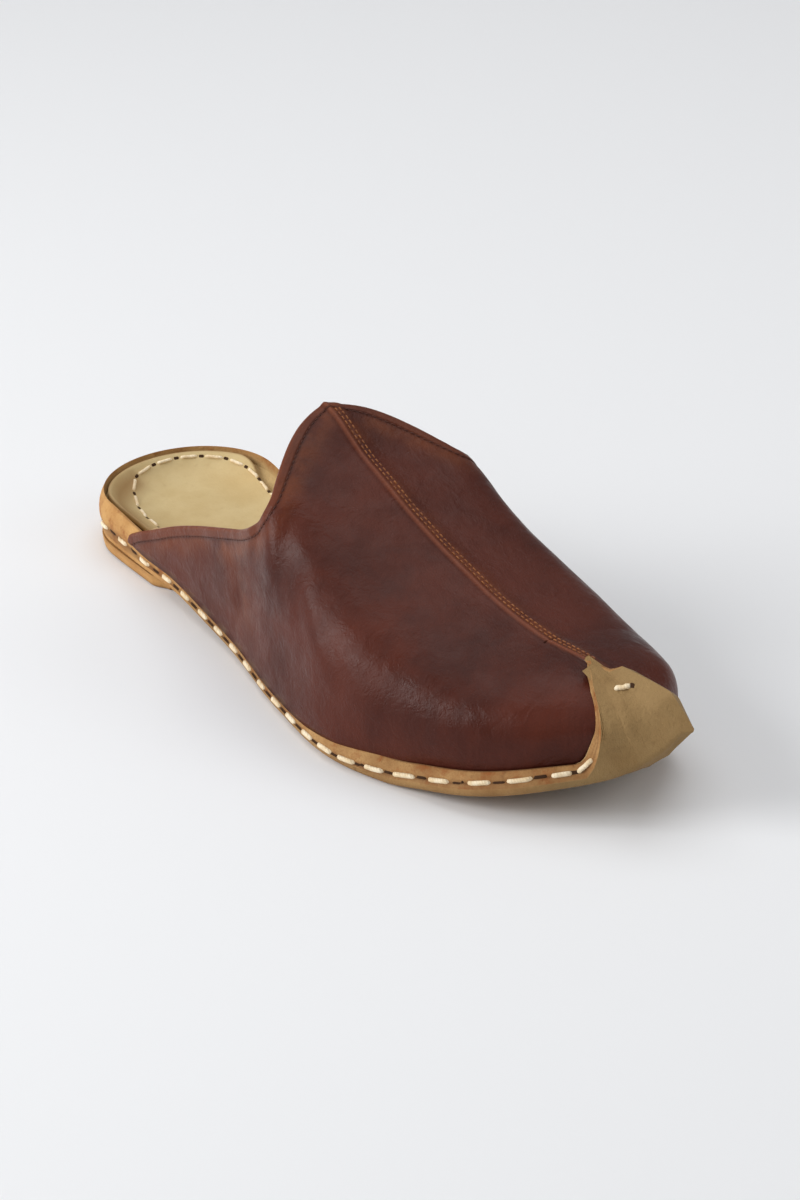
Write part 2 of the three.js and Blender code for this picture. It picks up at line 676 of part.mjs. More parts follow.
const insoleSolid = solidOf(skin(insoleRings()));

const leather = {
  upper: { color: 0x4a251c, roughness: 0.5, metalness: 0 },
  sole: { color: 0x8c6e46, roughness: 0.8, metalness: 0 },
  lift: { color: 0xa07a45, roughness: 0.8, metalness: 0 },
  insole: { color: 0xc6ac7c, roughness: 0.75, metalness: 0 },
};

function piece(name, geometry, finish) {
  const mesh = new THREE.Mesh(geometry, new THREE.MeshStandardMaterial(finish));
  mesh.name = name;
  return mesh;
}

const shoe = new THREE.Group();
shoe.add(piece('outsole', geometryOf(outsoleSolid), leather.sole));
shoe.add(piece('heel_lift', heelLiftGeometry(), leather.lift));
shoe.add(piece('insole', geometryOf(insoleSolid), leather.insole));
shoe.add(piece('upper', geometryOf(upperSolid), leather.upper));
shoe.position.x = -heelDepth;
shoe.updateMatrixWorld(true);

export default shoe;
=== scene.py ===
import math

import bpy
import numpy as np
from mathutils import Matrix, Vector
from mathutils.bvhtree import BVHTree


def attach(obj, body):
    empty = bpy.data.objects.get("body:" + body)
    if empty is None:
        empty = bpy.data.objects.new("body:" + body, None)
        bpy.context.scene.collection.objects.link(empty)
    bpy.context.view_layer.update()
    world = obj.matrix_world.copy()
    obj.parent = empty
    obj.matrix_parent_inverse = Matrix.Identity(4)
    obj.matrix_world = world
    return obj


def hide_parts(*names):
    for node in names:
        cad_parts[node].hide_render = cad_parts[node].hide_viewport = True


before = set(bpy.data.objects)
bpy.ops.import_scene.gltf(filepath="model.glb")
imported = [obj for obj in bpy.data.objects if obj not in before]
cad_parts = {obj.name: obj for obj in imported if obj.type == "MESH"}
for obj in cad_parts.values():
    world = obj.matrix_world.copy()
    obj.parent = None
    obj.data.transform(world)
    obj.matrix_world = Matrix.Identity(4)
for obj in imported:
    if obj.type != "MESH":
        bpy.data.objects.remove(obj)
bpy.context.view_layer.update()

# Driving sizes of the shoe in millimetres, the same as in the part's source.
LENGTH = 285.0
BALL_WIDTH = 93.0
HEEL_WIDTH = 65.0
HEEL_DEPTH = 29.0
NOSE_SWING = 20.5
NOSE_HEIGHT = 36.0
PEAK_HEIGHT = 81.0
TOE_BOX_HEIGHT = 39.0
SOLE_LEATHER = 4.5
RIM_HEIGHT = 8.2
HEEL_RIM_HEIGHT = 15.2
RIM_WIDTH = 4.0
HEEL_LIFT = 4.4
HEEL_LIFT_LENGTH = 62.0
HEEL_LIFT_INSET = 1.3
INSOLE_THICKNESS = 2.5
INSOLE_BED = 0.45
INSOLE_FROM_RIM = 0.32
BOW_SWELL = 0.9
WALL = 2.0
FLAP_LEATHER = 3.8
CLEARANCE = 0.3
HEEL_SEAT = HEEL_LIFT + CLEARANCE
RIDGE_SWING_FROM = 0.45
RIDGE_SWING_POWER = 1.6
TOE_CENTRE = 0.80
NOSE_TIP = 288.0
FLAP_TIP_AT = 0.862


def rows(names, *values):
    """A short table: one dictionary for each row, with named columns."""
    return [dict(zip(names.split(), row)) for row in values]


OUTLINE = rows(
    "at outer inner",
    (0.260, 0.355, 0.318), (0.400, 0.386, 0.340), (0.540, 0.464, 0.432),
    (0.670, 0.496, 0.504), (0.790, 0.380, 0.512), (0.845, 0.308, 0.492))
TOE_OUTLINE = rows(
    "at outer inner",
    (0.890, -0.95, 2.02), (0.930, -0.26, 1.50), (0.965, 0.42, 1.19))
UNDERSIDE = rows(
    "at lift spring",
    (0.000, 1.00, 0.00), (0.230, 1.00, 0.00), (0.340, 0.42, 0.00), (0.440, 0.08, 0.00),
    (0.500, 0.00, 0.00), (0.740, 0.00, 0.00), (0.790, 0.00, 0.055), (0.840, 0.00, 0.130),
    (0.890, 0.00, 0.245), (0.940, 0.00, 0.435), (1.000, 0.00, 0.950))
EDGE = rows(
    "at corner round tuck lean rim",
    (0.000, 0.12, 0.12, 0.30, 0.55, 1.00), (0.100, 0.12, 0.12, 0.30, 0.55, 0.95),
    (0.180, 0.16, 0.16, 0.20, 0.65, 0.60), (0.300, 0.32, 0.30, 0.05, 0.85, 0.20),
    (0.450, 0.40, 0.40, 0.00, 1.00, 0.00), (0.880, 0.40, 0.40, 0.00, 1.00, 0.00),
    (1.000, 0.30, 0.20, 0.00, 1.00, -0.45))
DISH = rows("in_rims rise", (0.15, 0.97), (0.75, 0.76), (1.75, 0.32), (3.00, 0.00))
SECTIONS = rows(
    "at top widest outer_inset inner_inset outer_square inner_square",
    (0.000, 1.000, 0.46, 0.25, 0.15, 4.2, 4.2), (0.300, 1.000, 0.46, 0.25, -0.20, 4.2, 4.2),
    (0.409, 1.000, 0.44, 0.25, -0.55, 4.2, 5.5), (0.500, 0.730, 0.38, 0.35, -0.60, 4.0, 6.0),
    (0.560, 0.560, 0.31, 0.50, -0.30, 3.2, 4.6), (0.640, 0.340, 0.26, 0.60, 0.00, 2.8, 3.9),
    (0.712, 0.175, 0.24, 0.65, 0.10, 2.6, 3.7), (0.790, 0.060, 0.24, 0.80, 0.20, 2.4, 3.4),
    (0.865, 0.000, 0.26, 1.12, 0.25, 2.3, 3.2), (0.940, 0.000, 0.33, 1.15, 0.80, 2.2, 2.6),
    (1.000, 0.000, 0.44, 2.60, 2.60, 1.6, 1.6))
OUTER_COLLAR = rows(
    "at height",
    (0.143, 0.060), (0.147, 0.160), (0.168, 0.212), (0.205, 0.275), (0.256, 0.362),
    (0.318, 0.453), (0.397, 0.560), (0.437, 0.620), (0.468, 0.690), (0.486, 0.770),
    (0.494, 0.850))
INNER_COLLAR = rows(
    "at height",
    (0.166, 0.060), (0.170, 0.165), (0.190, 0.260), (0.215, 0.340), (0.258, 0.430),
    (0.300, 0.490), (0.386, 0.565), (0.440, 0.620), (0.478, 0.680), (0.500, 0.750),
    (0.509, 0.840))
THROAT = rows(
    "side outer inner",
    (0.000, 0.408, 0.408), (0.040, 0.411, 0.411), (0.115, 0.423, 0.424), (0.190, 0.440, 0.443),
    (0.260, 0.458, 0.465), (0.325, 0.475, 0.487), (0.375, 0.486, 0.503), (0.420, 0.492, 0.511))

STITCH_LINE = rows(
    "at share",
    (0.000, 0.14), (0.120, 0.22), (0.200, 0.08), (0.450, 0.07), (0.660, 0.06),
    (0.700, 0.10), (0.750, 0.22), (0.820, 0.28), (0.870, 0.34), (0.930, 0.42))
OVERHANG = rows(
    "at share",
    (0.095, 0.0), (0.150, 1.0), (0.560, 1.0), (0.660, 0.72), (0.730, 0.30), (0.800, 0.0))
OVERHANG_GAP = 0.15
OVERHANG_IN = 0.25
OVERHANG_UP = 0.3
OVERHANG_TUCK = 0.8
RIM_TO_WIDEST = 2.0

# The sole's turned-up end, beside the ridge: it sags on the outer side around one place and rises on
# the inner side over a stretch.
TOE_SAG = 3.4
TOE_SAG_AT = 280.0
TOE_SAG_REACH = {"before": 15.0, "after": 6.0}
TOE_SAG_BESIDE = (0.0, 5.0)
TOE_RISE = 3.8
TOE_RISE_STARTS = (250.0, 262.0)
TOE_RISE_ENDS = (276.0, 284.0)
TOE_RISE_BESIDE = (4.0, 9.0)

HEEL_ARC_STEPS = 6
HEEL_RIBS = 46
WAIST_RIBS = 200
TOE_RIBS = 150


def column(table, name, at):
    """Reads one column of a table at a share of the length, smoothly between its rows."""
    last = len(table) - 1
    if at <= table[0]["at"]:
        return table[0][name]
    if at >= table[last]["at"]:
        return table[last][name]
    row = 0
    while table[row + 1]["at"] < at:
        row += 1

    def slope(start, end):
        return (table[end][name] - table[start][name]) / (table[end]["at"] - table[start]["at"])

    def blend(a, b):
        return 0.0 if a * b <= 0 else 2 * a * b / (a + b)

    here = slope(row, row + 1)
    start_slope = blend(slope(row - 1, row), here) if row > 0 else here
    end_slope = blend(here, slope(row + 1, row + 2)) if row + 1 < last else here
    span = table[row + 1]["at"] - table[row]["at"]
    t = (at - table[row]["at"]) / span
    value = (1 - t) ** 2 * (1 + 2 * t) * table[row][name] + t * t * (3 - 2 * t) * table[row + 1][name]
    return value + span * (t * (1 - t) ** 2 * start_slope - t * t * (1 - t) * end_slope)


def lerp(a, b, t):
    return a + (b - a) * t


def smoothstep(x, low, high):
    t = np.clip((x - low) / (high - low), 0.0, 1.0)
    return t * t * (3 - 2 * t)


def underside_at(x):
    at = x / LENGTH
    return HEEL_SEAT * column(UNDERSIDE, "lift", at) + NOSE_HEIGHT * column(UNDERSIDE, "spring", at)


def toe_sag(x, y):
    """The sole's turned-up end sags a little on its outer side and rises on its inner side."""
    beside = y - ridge_side(x)
    reach = TOE_SAG_REACH["before" if x < TOE_SAG_AT else "after"]
    sag = TOE_SAG * math.exp(-((x - TOE_SAG_AT) / reach) ** 2) * (1 - smoothstep(beside, *TOE_SAG_BESIDE))
    along = smoothstep(x, *TOE_RISE_STARTS) * (1 - smoothstep(x, *TOE_RISE_ENDS))
    return TOE_RISE * along * smoothstep(beside, *TOE_RISE_BESIDE) - sag


def rim_at(x):
    return lerp(RIM_HEIGHT, HEEL_RIM_HEIGHT, column(EDGE, "rim", x / LENGTH))


def ridge_share(x):
    """How far x is along the ridge's swing, from its start (0) to the nose (1)."""
    return np.clip((x / LENGTH - RIDGE_SWING_FROM) / (1 - RIDGE_SWING_FROM), 0.0, None)


def ridge_side(x):
    return NOSE_SWING * ridge_share(x) ** RIDGE_SWING_POWER


def catmull(points, count):
    """Centripetal curve through points, as many samples as asked between each pair."""
    points = [np.asarray(p, float) for p in points]
    ends = [2 * points[0] - points[1]] + points + [2 * points[-1] - points[-2]]
    out = []
    for i in range(1, len(ends) - 2):
        p0, p1, p2, p3 = ends[i - 1:i + 3]
        d0, d1, d2 = (max(np.linalg.norm(b - a) ** 0.5, 1e-6) for a, b in ((p0, p1), (p1, p2), (p2, p3)))
        m1 = ((p1 - p0) / d0 - (p2 - p0) / (d0 + d1) + (p2 - p1) / d1) * d1
        m2 = ((p2 - p1) / d1 - (p3 - p1) / (d1 + d2) + (p3 - p2) / d2) * d1
        for k in range(count):
            t = k / count
            out.append(p1 + t * m1 + t * t * (3 * (p2 - p1) - 2 * m1 - m2)
                       + t ** 3 * (2 * (p1 - p2) + m1 + m2))
    out.append(points[-1])
    return np.array(out)


def path_lengths(line):
    return np.concatenate([[0], np.cumsum(np.linalg.norm(np.diff(line, axis=0), axis=1))])


def heel_arc(share, sign):
    """A place on the heel's round outline, from its back (0) to the side (1)."""
    a = math.pi / 2 * share
    return HEEL_DEPTH * (1 - math.cos(a)), sign * HEEL_WIDTH / 2 * math.sin(a)


def side_curve(name, sign):
    """One side of the outline from the heel back to the nose."""
    points = [heel_arc(i / HEEL_ARC_STEPS, sign) for i in range(HEEL_ARC_STEPS + 1)]
    points += [(row["at"] * LENGTH, sign * row[name] * BALL_WIDTH) for row in OUTLINE]
    points += [(row["at"] * LENGTH, row[name] * NOSE_SWING) for row in TOE_OUTLINE]
    points.append((NOSE_TIP, NOSE_SWING))
    return catmull(points, 60)


OUTER_SIDE = side_curve("outer", -1)
INNER_SIDE = side_curve("inner", 1)


def side_at(curve, x):
    """How far to the side an outline lies at x."""
    return float(np.interp(x, curve[:, 0], curve[:, 1]))


class Rib:
    """A line on the plan from its foot on the centre line to its end on the outline."""

    def __init__(self, foot, end):
        self.foot = np.asarray(foot, float)
        self.end = np.asarray(end, float)
        self.reach = float(np.linalg.norm(self.end - self.foot))
        self.along = (self.end - self.foot) / self.reach

    def at(self, inset, z):
        p = self.foot + self.along * max(0.0, self.reach - inset)
        return np.array((p[0], p[1], z))


TOE_FOOT = (TOE_CENTRE * LENGTH, ridge_side(TOE_CENTRE * LENGTH))


def side_ribs(curve, sign):
    ribs = [Rib((HEEL_DEPTH, 0), heel_arc(i / HEEL_RIBS, sign)) for i in range(HEEL_RIBS)]
    for i in range(WAIST_RIBS):
        x = lerp(HEEL_DEPTH, TOE_FOOT[0], i / WAIST_RIBS)
        ribs.append(Rib((x, ridge_side(x)), (x, side_at(curve, x))))
    toe = curve[curve[:, 0] >= TOE_FOOT[0]]
    toe = np.vstack([(TOE_FOOT[0], side_at(curve, TOE_FOOT[0])), toe])
    steps = path_lengths(toe)
    for i in range(TOE_RIBS):
        want = steps[-1] * i / TOE_RIBS
        ribs.append(Rib(TOE_FOOT, [np.interp(want, steps, toe[:, k]) for k in (0, 1)]))
    return ribs


OUTER_RIBS = side_ribs(OUTER_SIDE, -1)
INNER_RIBS = side_ribs(INNER_SIDE, 1)
RIBS = OUTER_RIBS + [Rib(TOE_FOOT, (NOSE_TIP, NOSE_SWING))] + INNER_RIBS[:0:-1]
COUNT = len(RIBS)
NOSE = len(OUTER_RIBS)
IN_FAN = np.array([abs(r.foot[0] - TOE_FOOT[0]) < 1e-6 for r in RIBS])


# Dish floor: straight between the places where its rings run.
def dish_knots(rib):
    cup = max(0.0, rim_at(rib.end[0]) - RIM_HEIGHT)
    lean = RIM_WIDTH * column(EDGE, "lean", rib.end[0] / LENGTH)
    knots = [(lean + RIM_WIDTH * row["in_rims"], cup * row["rise"]) for row in DISH]
    knots.append(((knots[-1][0] + rib.reach) / 2, 0.0))
    knots.append((rib.reach, 0.0))
    return [(inset, underside_at(rib.at(inset, 0)[0]) + SOLE_LEATHER + rise) for inset, rise in knots]


DISH_KNOTS = [np.array(dish_knots(rib)) for rib in RIBS]


def dish_floor(i, inset):
    return float(np.interp(inset, DISH_KNOTS[i][:, 0], DISH_KNOTS[i][:, 1]))


def cut_edge(rib, share):
    """A place on the outsole's slanted cut edge, from its lower corner (0) to its rim (1)."""
    x = rib.end[0]
    at = x / LENGTH
    tuck, lean = (RIM_WIDTH * column(EDGE, name, at) for name in ("tuck", "lean"))
    rim = rim_at(x)
    corner = rim * column(EDGE, "corner", at)
    arch = math.sin(math.pi * share)
    p = rib.at(lerp(tuck, lean, share) - BOW_SWELL * tuck * arch, 0)
    p[2] = underside_at(p[0]) + toe_sag(p[0], p[1]) + lerp(corner, rim, share) + 0.07 * (rim - corner) * arch
    return p


# Upper: the smooth form over the last. Its leather bulges over the sole's rim at the sides, the
# lining doesn't.
FOOT_INSET = RIM_WIDTH * (1 + DISH[0]["in_rims"]) + CLEARANCE
RISE_SHARES = [k / 9 for k in range(9)]
ARCH_ANGLES = [78.0 * k / 26 for k in range(27)]
RIDGE_OFFSETS = [5.4, 4.3, 3.3, 2.5, 1.8, 1.2, 0.6, 0.0]
ROOF = 0.03


def upper_grid(bulge=1.0):
    levels = 1 + len(RISE_SHARES) + len(ARCH_ANGLES) + len(RIDGE_OFFSETS)
    grid = np.zeros((levels, COUNT, 3))
    for i, rib in enumerate(RIBS):
        at = rib.end[0] / LENGTH
        top = lerp(TOE_BOX_HEIGHT, PEAK_HEIGHT, column(SECTIONS, "top", rib.foot[0] / LENGTH))
        side = "inner" if rib.along[1] > 0 else "outer"
        inset = RIM_WIDTH * column(SECTIONS, side + "_inset", at)
        square = column(SECTIONS, side + "_square", at)
        base = dish_floor(i, FOOT_INSET) + CLEARANCE
        rim_top = underside_at(rib.at(FOOT_INSET, 0)[0]) + rim_at(rib.end[0]) + CLEARANCE
        wide = max(PEAK_HEIGHT * column(SECTIONS, "widest", at), rim_top + RIM_TO_WIDEST)
        reach = rib.reach - inset
        over = bulge * column(OVERHANG, "share", at)
        edge = cut_edge(rib, column(STITCH_LINE, "share", at) + OVERHANG_GAP)
        start = lerp(FOOT_INSET, rib.reach - (edge[:2] - rib.foot) @ rib.along - OVERHANG_IN, over)
        low = lerp(rim_top, edge[2] + OVERHANG_UP, over)

        def arch(u):
            full = (1 - min(1.0, u) ** square) ** (1 / square) - ROOF * math.sin(math.pi * min(1.0, u))
            return wide + (top - wide) * full

        points = [rib.at(FOOT_INSET, base)]
        for share in RISE_SHARES:
            bow = lerp(inset, start, 1 - math.sin(math.pi / 2 * share))
            bow -= over * OVERHANG_TUCK * math.sin(math.pi * share) * (1 - share)
            points.append(rib.at(bow, lerp(low, wide, share)))
        for angle in ARCH_ANGLES:
            a = math.radians(angle)
            u = (math.cos(a) ** square + math.sin(a) ** square) ** (-1 / square) * math.cos(a)
            points.append(rib.at(rib.reach - u * reach, arch(u)))
        for side_offset in RIDGE_OFFSETS:
            points.append(rib.at(rib.reach - side_offset, arch(side_offset / reach)))
        grid[:, i] = points
    return grid


def unit(v):
    return v / np.maximum(np.linalg.norm(v, axis=-1, keepdims=True), 1e-9)


def grid_normals(grid):
    """Outward normals of a grid whose rings run round the shoe and whose levels run up."""
    round_ = np.roll(grid, -1, axis=1) - np.roll(grid, 1, axis=1)
    up = np.gradient(grid, axis=0)
    normal = unit(np.cross(round_, up))
    mirror = (-np.arange(COUNT)) % COUNT
    normal[-1] = unit(normal[-1] + normal[-1][mirror])
    normal[-1][IN_FAN] = normal[-1][HEEL_RIBS + WAIST_RIBS - 1]
    beside = (12, COUNT // 4)
    return -normal if normal[beside][1] * grid[beside][1] < 0 else normal


UPPER = upper_grid()
LAST = upper_grid(0.0)
UPPER_NORMAL = grid_normals(UPPER)


def triangles_of(levels, count):
    """Triangles of a grid of closed rings."""
    k, i = np.meshgrid(np.arange(levels - 1), np.arange(count), indexing="ij")
    j = (i + 1) % count
    a, b, c, d = k * count + i, k * count + j, (k + 1) * count + j, (k + 1) * count + i
    return np.concatenate([np.stack([a, b, c], -1).reshape(-1, 3), np.stack([a, c, d], -1).reshape(-1, 3)])


def weld(points, triangles, *extra):
    """Makes points that fall together one point, and drops the triangles that vanish."""
    keys = np.round(points, 3)
    _, first, back = np.unique(keys, axis=0, return_index=True, return_inverse=True)
    back = back.reshape(-1)
    triangles = back[triangles]
    good = (triangles[:, 0] != triangles[:, 1]) & (triangles[:, 1] != triangles[:, 2]) \
        & (triangles[:, 2] != triangles[:, 0])
    return [points[first], triangles[good]] + [e[first] for e in extra]


def split(points, normals, triangles, value, level, keep_above):
    """Cuts triangles along a level of value, so that an edge runs there."""
    side = value > level
    tri_sides = side[triangles]
    whole = tri_sides.all(axis=1) | (~tri_sides).all(axis=1)
    out = [t for t in triangles[whole] if keep_above or not side[t[0]]]
    new_points, new_normals, new_value = list(points), list(normals), list(value)
    cache = {}

    def cross(a, b):
        key = (min(a, b), max(a, b))
        if key not in cache:
            t = (level - value[a]) / (value[b] - value[a])
            cache[key] = len(new_points)
            new_points.append(lerp(points[a], points[b], t))
            new_normals.append(unit(lerp(normals[a], normals[b], t)))
            new_value.append(level)
        return cache[key]

    for t in triangles[~whole]:
        alone = [n for n in range(3) if (side[t].sum() == 1) == bool(side[t[n]])][0]
        a, b, c = t[alone], t[(alone + 1) % 3], t[(alone + 2) % 3]
        ab, ac = cross(a, b), cross(a, c)
        tip_above = bool(side[a])
        if keep_above or not tip_above:
            out.append(np.array((a, ab, ac)))
        if keep_above or tip_above:
            out.append(np.array((ab, b, c)))
            out.append(np.array((ab, c, ac)))
    triangles = np.array(out)
    used = np.unique(triangles)
    back = np.full(len(new_points), -1)
    back[used] = np.arange(len(used))
    return (np.array(new_points)[used], np.array(new_normals)[used], back[triangles],
            np.array(new_value)[used])


def signed_distance(points, line):
    """Distance of flat points to a line that runs on straight at both ends; left of it is positive."""
    far = 3 * LENGTH
    first = line[0] + unit(line[0] - line[1]) * far
    last = line[-1] + unit(line[-1] - line[-2]) * far
    line = np.vstack([first, line, last])
    a, b = line[:-1], line[1:]
    best = np.full(len(points), 1e9)
    sign = np.ones(len(points))
    for p, q in zip(a, b):
        along = q - p
        t = np.clip(((points - p) @ along) / (along @ along), 0, 1)
        gap = points - (p + t[:, None] * along)
        d = np.linalg.norm(gap, axis=1)
        cross = along[0] * (points - p)[:, 1] - along[1] * (points - p)[:, 0]
        nearer = d < best
        best = np.where(nearer, d, best)
        sign = np.where(nearer, np.where(cross > 0, 1.0, -1.0), sign)
    return best * sign


def collar_line(table):
    line = catmull([(row["at"] * LENGTH, row["height"] * PEAK_HEIGHT) for row in table], 8)
    return np.vstack([line, line[-1] + (0, 60)])


def throat_line():
    outer = [(row["outer"] * LENGTH, -row["side"] * BALL_WIDTH) for row in THROAT]
    inner = [(row["inner"] * LENGTH, row["side"] * BALL_WIDTH) for row in THROAT]
    line = catmull(outer[:0:-1] + inner, 8)
    return np.vstack([line[0] - (0, 60), line, line[-1] + (0, 60)])


OUTER_LINE = collar_line(OUTER_COLLAR)
INNER_LINE = collar_line(INNER_COLLAR)
THROAT_LINE = throat_line()


def into_cut(points):
    """How far points lie inside the open part over the collar and throat; the leather is below 0."""
    side = np.where(points[:, 1] < 0,
                    signed_distance(points[:, [0, 2]], OUTER_LINE),
                    signed_distance(points[:, [0, 2]], INNER_LINE))
    plan = signed_distance(points[:, :2], THROAT_LINE)
    soft = 3.0
    low = np.minimum(side, plan)
    mix = np.maximum(soft - np.abs(side - plan), 0.0) / soft
    return low - mix * mix * soft / 4


MM = 0.001
SHIFT = np.array((-HEEL_DEPTH, 0.0, 0.0))


def mesh_object(name, points, faces, material, node=None, smooth=True, attributes=None):
    """Makes a mesh in metres that rides on the shoe."""
    mesh = bpy.data.meshes.new(name)
    mesh.from_pydata([tuple(p) for p in (np.asarray(points) + SHIFT) * MM], [],
                     [tuple(int(n) for n in f) for f in faces])
    for key, values in (attributes or {}).items():
        layer = mesh.attributes.new(key, "FLOAT", "POINT")
        layer.data.foreach_set("value", np.asarray(values, dtype=np.float32))
    mesh.validate()
    if smooth:
        mesh.shade_smooth()
    obj = bpy.data.objects.new(name, mesh)
    bpy.context.scene.collection.objects.link(obj)
    obj.data.materials.append(material)
    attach(obj, "root")
    if node:
        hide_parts(node)
    return obj


def boundary_edges(triangles):
    edges = np.concatenate([triangles[:, [0, 1]], triangles[:, [1, 2]], triangles[:, [2, 0]]])
    key = np.sort(edges, axis=1)
    _, index, counts = np.unique(key, axis=0, return_index=True, return_counts=True)
    return edges[index[counts == 1]]


def shell(points, normals, triangles, outward, inward):
    """Closed leather sheet between two offsets of a surface; outward and inward may vary."""
    count = len(points)
    outside = points + normals * np.reshape(outward, (-1, 1))
    inside = points - normals * np.reshape(inward, (-1, 1))
    edges = boundary_edges(triangles)
    a, b = edges[:, 0], edges[:, 1]
    wall = np.concatenate([np.stack([b, a, a + count], -1), np.stack([b, a + count, b + count], -1)])
    faces = np.concatenate([triangles, triangles[:, ::-1] + count, wall])
    return np.vstack([outside, inside]), faces


def chain_of(edges):
    """Orders edges into one line of point numbers, the longest where there are several."""
    after = {}
    for a, b in edges:
        after.setdefault(int(a), []).append(int(b))
        after.setdefault(int(b), []).append(int(a))
    ends = [p for p, n in after.items() if len(n) == 1] or [next(iter(after))]
    best = []
    for start in ends:
        line, before = [start], None
        while True:
            ahead = [p for p in after[line[-1]] if p != before and p != start]
            if not ahead:
                break
            before = line[-1]
            line.append(ahead[0])
        if len(line) > len(best):
            best = line
    return best


def resample(line, step, smooth_passes=0):
    """Even steps along a line of points."""
    line = np.asarray(line, float)
    for _ in range(smooth_passes):
        line[1:-1] = 0.25 * line[:-2] + 0.5 * line[1:-1] + 0.25 * line[2:]
    lengths = path_lengths(line)
    count = max(2, int(round(lengths[-1] / step)) + 1)
    want = np.linspace(0, lengths[-1], count)
    return np.stack([np.interp(want, lengths, line[:, k]) for k in range(3)], -1)


def tree_of(points, faces):
    return BVHTree.FromPolygons([tuple(p) for p in points], [tuple(int(n) for n in f) for f in faces])


def on_surface(tree, p):
    place, normal, _, _ = tree.find_nearest(Vector(p))
    return np.array(place), np.array(normal)


class Threads:
    """Stitches gathered into one mesh."""

    def __init__(self, sides=8):
        self.points, self.faces, self.sides = [], [], sides

    def stitch(self, line, ups, radius, flat=1.0):
        """A round thread along a short line."""
        line = np.asarray(line)
        tangent = unit(np.gradient(line, axis=0))
        ups = unit(ups - (ups * tangent).sum(-1, keepdims=True) * tangent)
        across = np.cross(tangent, ups)
        start = len(self.points)
        n = self.sides
        for k in range(len(line)):
            for m in range(n):
                a = 2 * math.pi * m / n
                self.points.append(line[k] + radius * (math.cos(a) * ups[k] * flat + math.sin(a) * across[k]))
        for k in range(len(line) - 1):
            for m in range(n):
                q = (m + 1) % n
                base = start + k * n
                self.faces.append((base + m, base + q, base + n + q, base + n + m))
        self.faces.append(tuple(start + m for m in range(n))[::-1])
        self.faces.append(tuple(start + (len(line) - 1) * n + m for m in range(n)))


DIVE_FROM = 0.62


def bowed_stitch(threads, tree, start, end, radius, sink, flat=1.0, steps=9, lift=0.5):
    """A stitch over a surface between two holes: it lies proud in the middle and dives at both ends."""
    line, ups = [], []
    for k in range(steps):
        t = k / (steps - 1)
        p, n = on_surface(tree, lerp(np.asarray(start), np.asarray(end), t))
        dive = max(0.0, abs(2 * t - 1) - DIVE_FROM) / (1 - DIVE_FROM)
        line.append(p + n * (radius * lift - sink * dive ** 2))
        ups.append(n)
    threads.stitch(np.array(line), np.array(ups), radius, flat)


# Materials: node helpers first, then one function for each leather and thread.
def make(tree, kind, settings=None, **inputs):
    """Adds a node; an input may be a value or another node's output."""
    node = tree.nodes.new(kind)
    for key, value in (settings or {}).items():
        setattr(node, key, value)
    for key, value in inputs.items():
        numbered = key[0] == "n" and key[1:].isdigit()
        socket = node.inputs[int(key[1:]) if numbered else key.replace("_", " ")]
        if isinstance(value, bpy.types.NodeSocket):
            tree.links.new(value, socket)
        else:
            socket.default_value = value
    return node


def rgb(r, g, b):
    """Screen colour from 0 to 255 as the light value that nodes take."""
    return tuple((c / 255 / 12.92) if c / 255 <= 0.04045 else ((c / 255 + 0.055) / 1.055) ** 2.4
                 for c in (r, g, b)) + (1.0,)


class Look:
    """A material with the helpers that its layers need."""

    def __init__(self, name, roughness=0.6, specular=0.5):
        self.material = bpy.data.materials.new(name)
        self.material.use_nodes = True
        self.tree = self.material.node_tree
        self.shader = self.tree.nodes["Principled BSDF"]
        self.shader.inputs["Roughness"].default_value = roughness
        self.shader.inputs["Specular IOR Level"].default_value = specular
        self.place = make(self.tree, "ShaderNodeTexCoord").outputs["Object"]
        self.normal = None

    def stretched(self, x=1.0, y=1.0, z=1.0):
        return make(self.tree, "ShaderNodeMapping", Vector=self.place, Scale=(x, y, z)).outputs[0]

    def noise(self, per_metre, detail=3.0, roughness=0.5, low=0.3, high=0.7, at=None, warp=0.0):
        out = make(self.tree, "ShaderNodeTexNoise", Vector=at or self.place, Scale=per_metre, Detail=detail,
                   Roughness=roughness, Distortion=warp).outputs["Fac"]
        return self.span(out, low, high)

    def span(self, value, low, high, to_low=0.0, to_high=1.0):
        return make(self.tree, "ShaderNodeMapRange", {"interpolation_type": "SMOOTHSTEP"}, Value=value,
                    From_Min=low, From_Max=high, To_Min=to_low, To_Max=to_high).outputs[0]

    def cells(self, per_metre, feature="F1", at=None):
        return make(self.tree, "ShaderNodeTexVoronoi", {"feature": feature}, Vector=at or self.place,
                    Scale=per_metre).outputs["Distance"]

    def attribute(self, name):
        return make(self.tree, "ShaderNodeAttribute", {"attribute_name": name}).outputs["Fac"]

    def math(self, kind, a, b=0.0):
        return make(self.tree, "ShaderNodeMath", {"operation": kind}, n0=a, n1=b).outputs[0]

    def mix(self, share, a, b):
        node = make(self.tree, "ShaderNodeMix", {"data_type": "RGBA"}, n0=share, n6=a, n7=b)
        return node.outputs[2]

    def bump(self, height, depth, strength=1.0):
        """Adds relief; depth is in millimetres."""
        inputs = {"Height": height, "Strength": strength, "Distance": depth * MM}
        if self.normal:
            inputs["Normal"] = self.normal
        self.normal = make(self.tree, "ShaderNodeBump", **inputs).outputs[0]

    def done(self, colour, roughness=None):
        if isinstance(colour, bpy.types.NodeSocket):
            self.tree.links.new(colour, self.shader.inputs["Base Color"])
        else:
            self.shader.inputs["Base Color"].default_value = colour
        if roughness is not None:
            self.tree.links.new(roughness, self.shader.inputs["Roughness"])
        if self.normal:
            self.tree.links.new(self.normal, self.shader.inputs["Normal"])
        return self.material


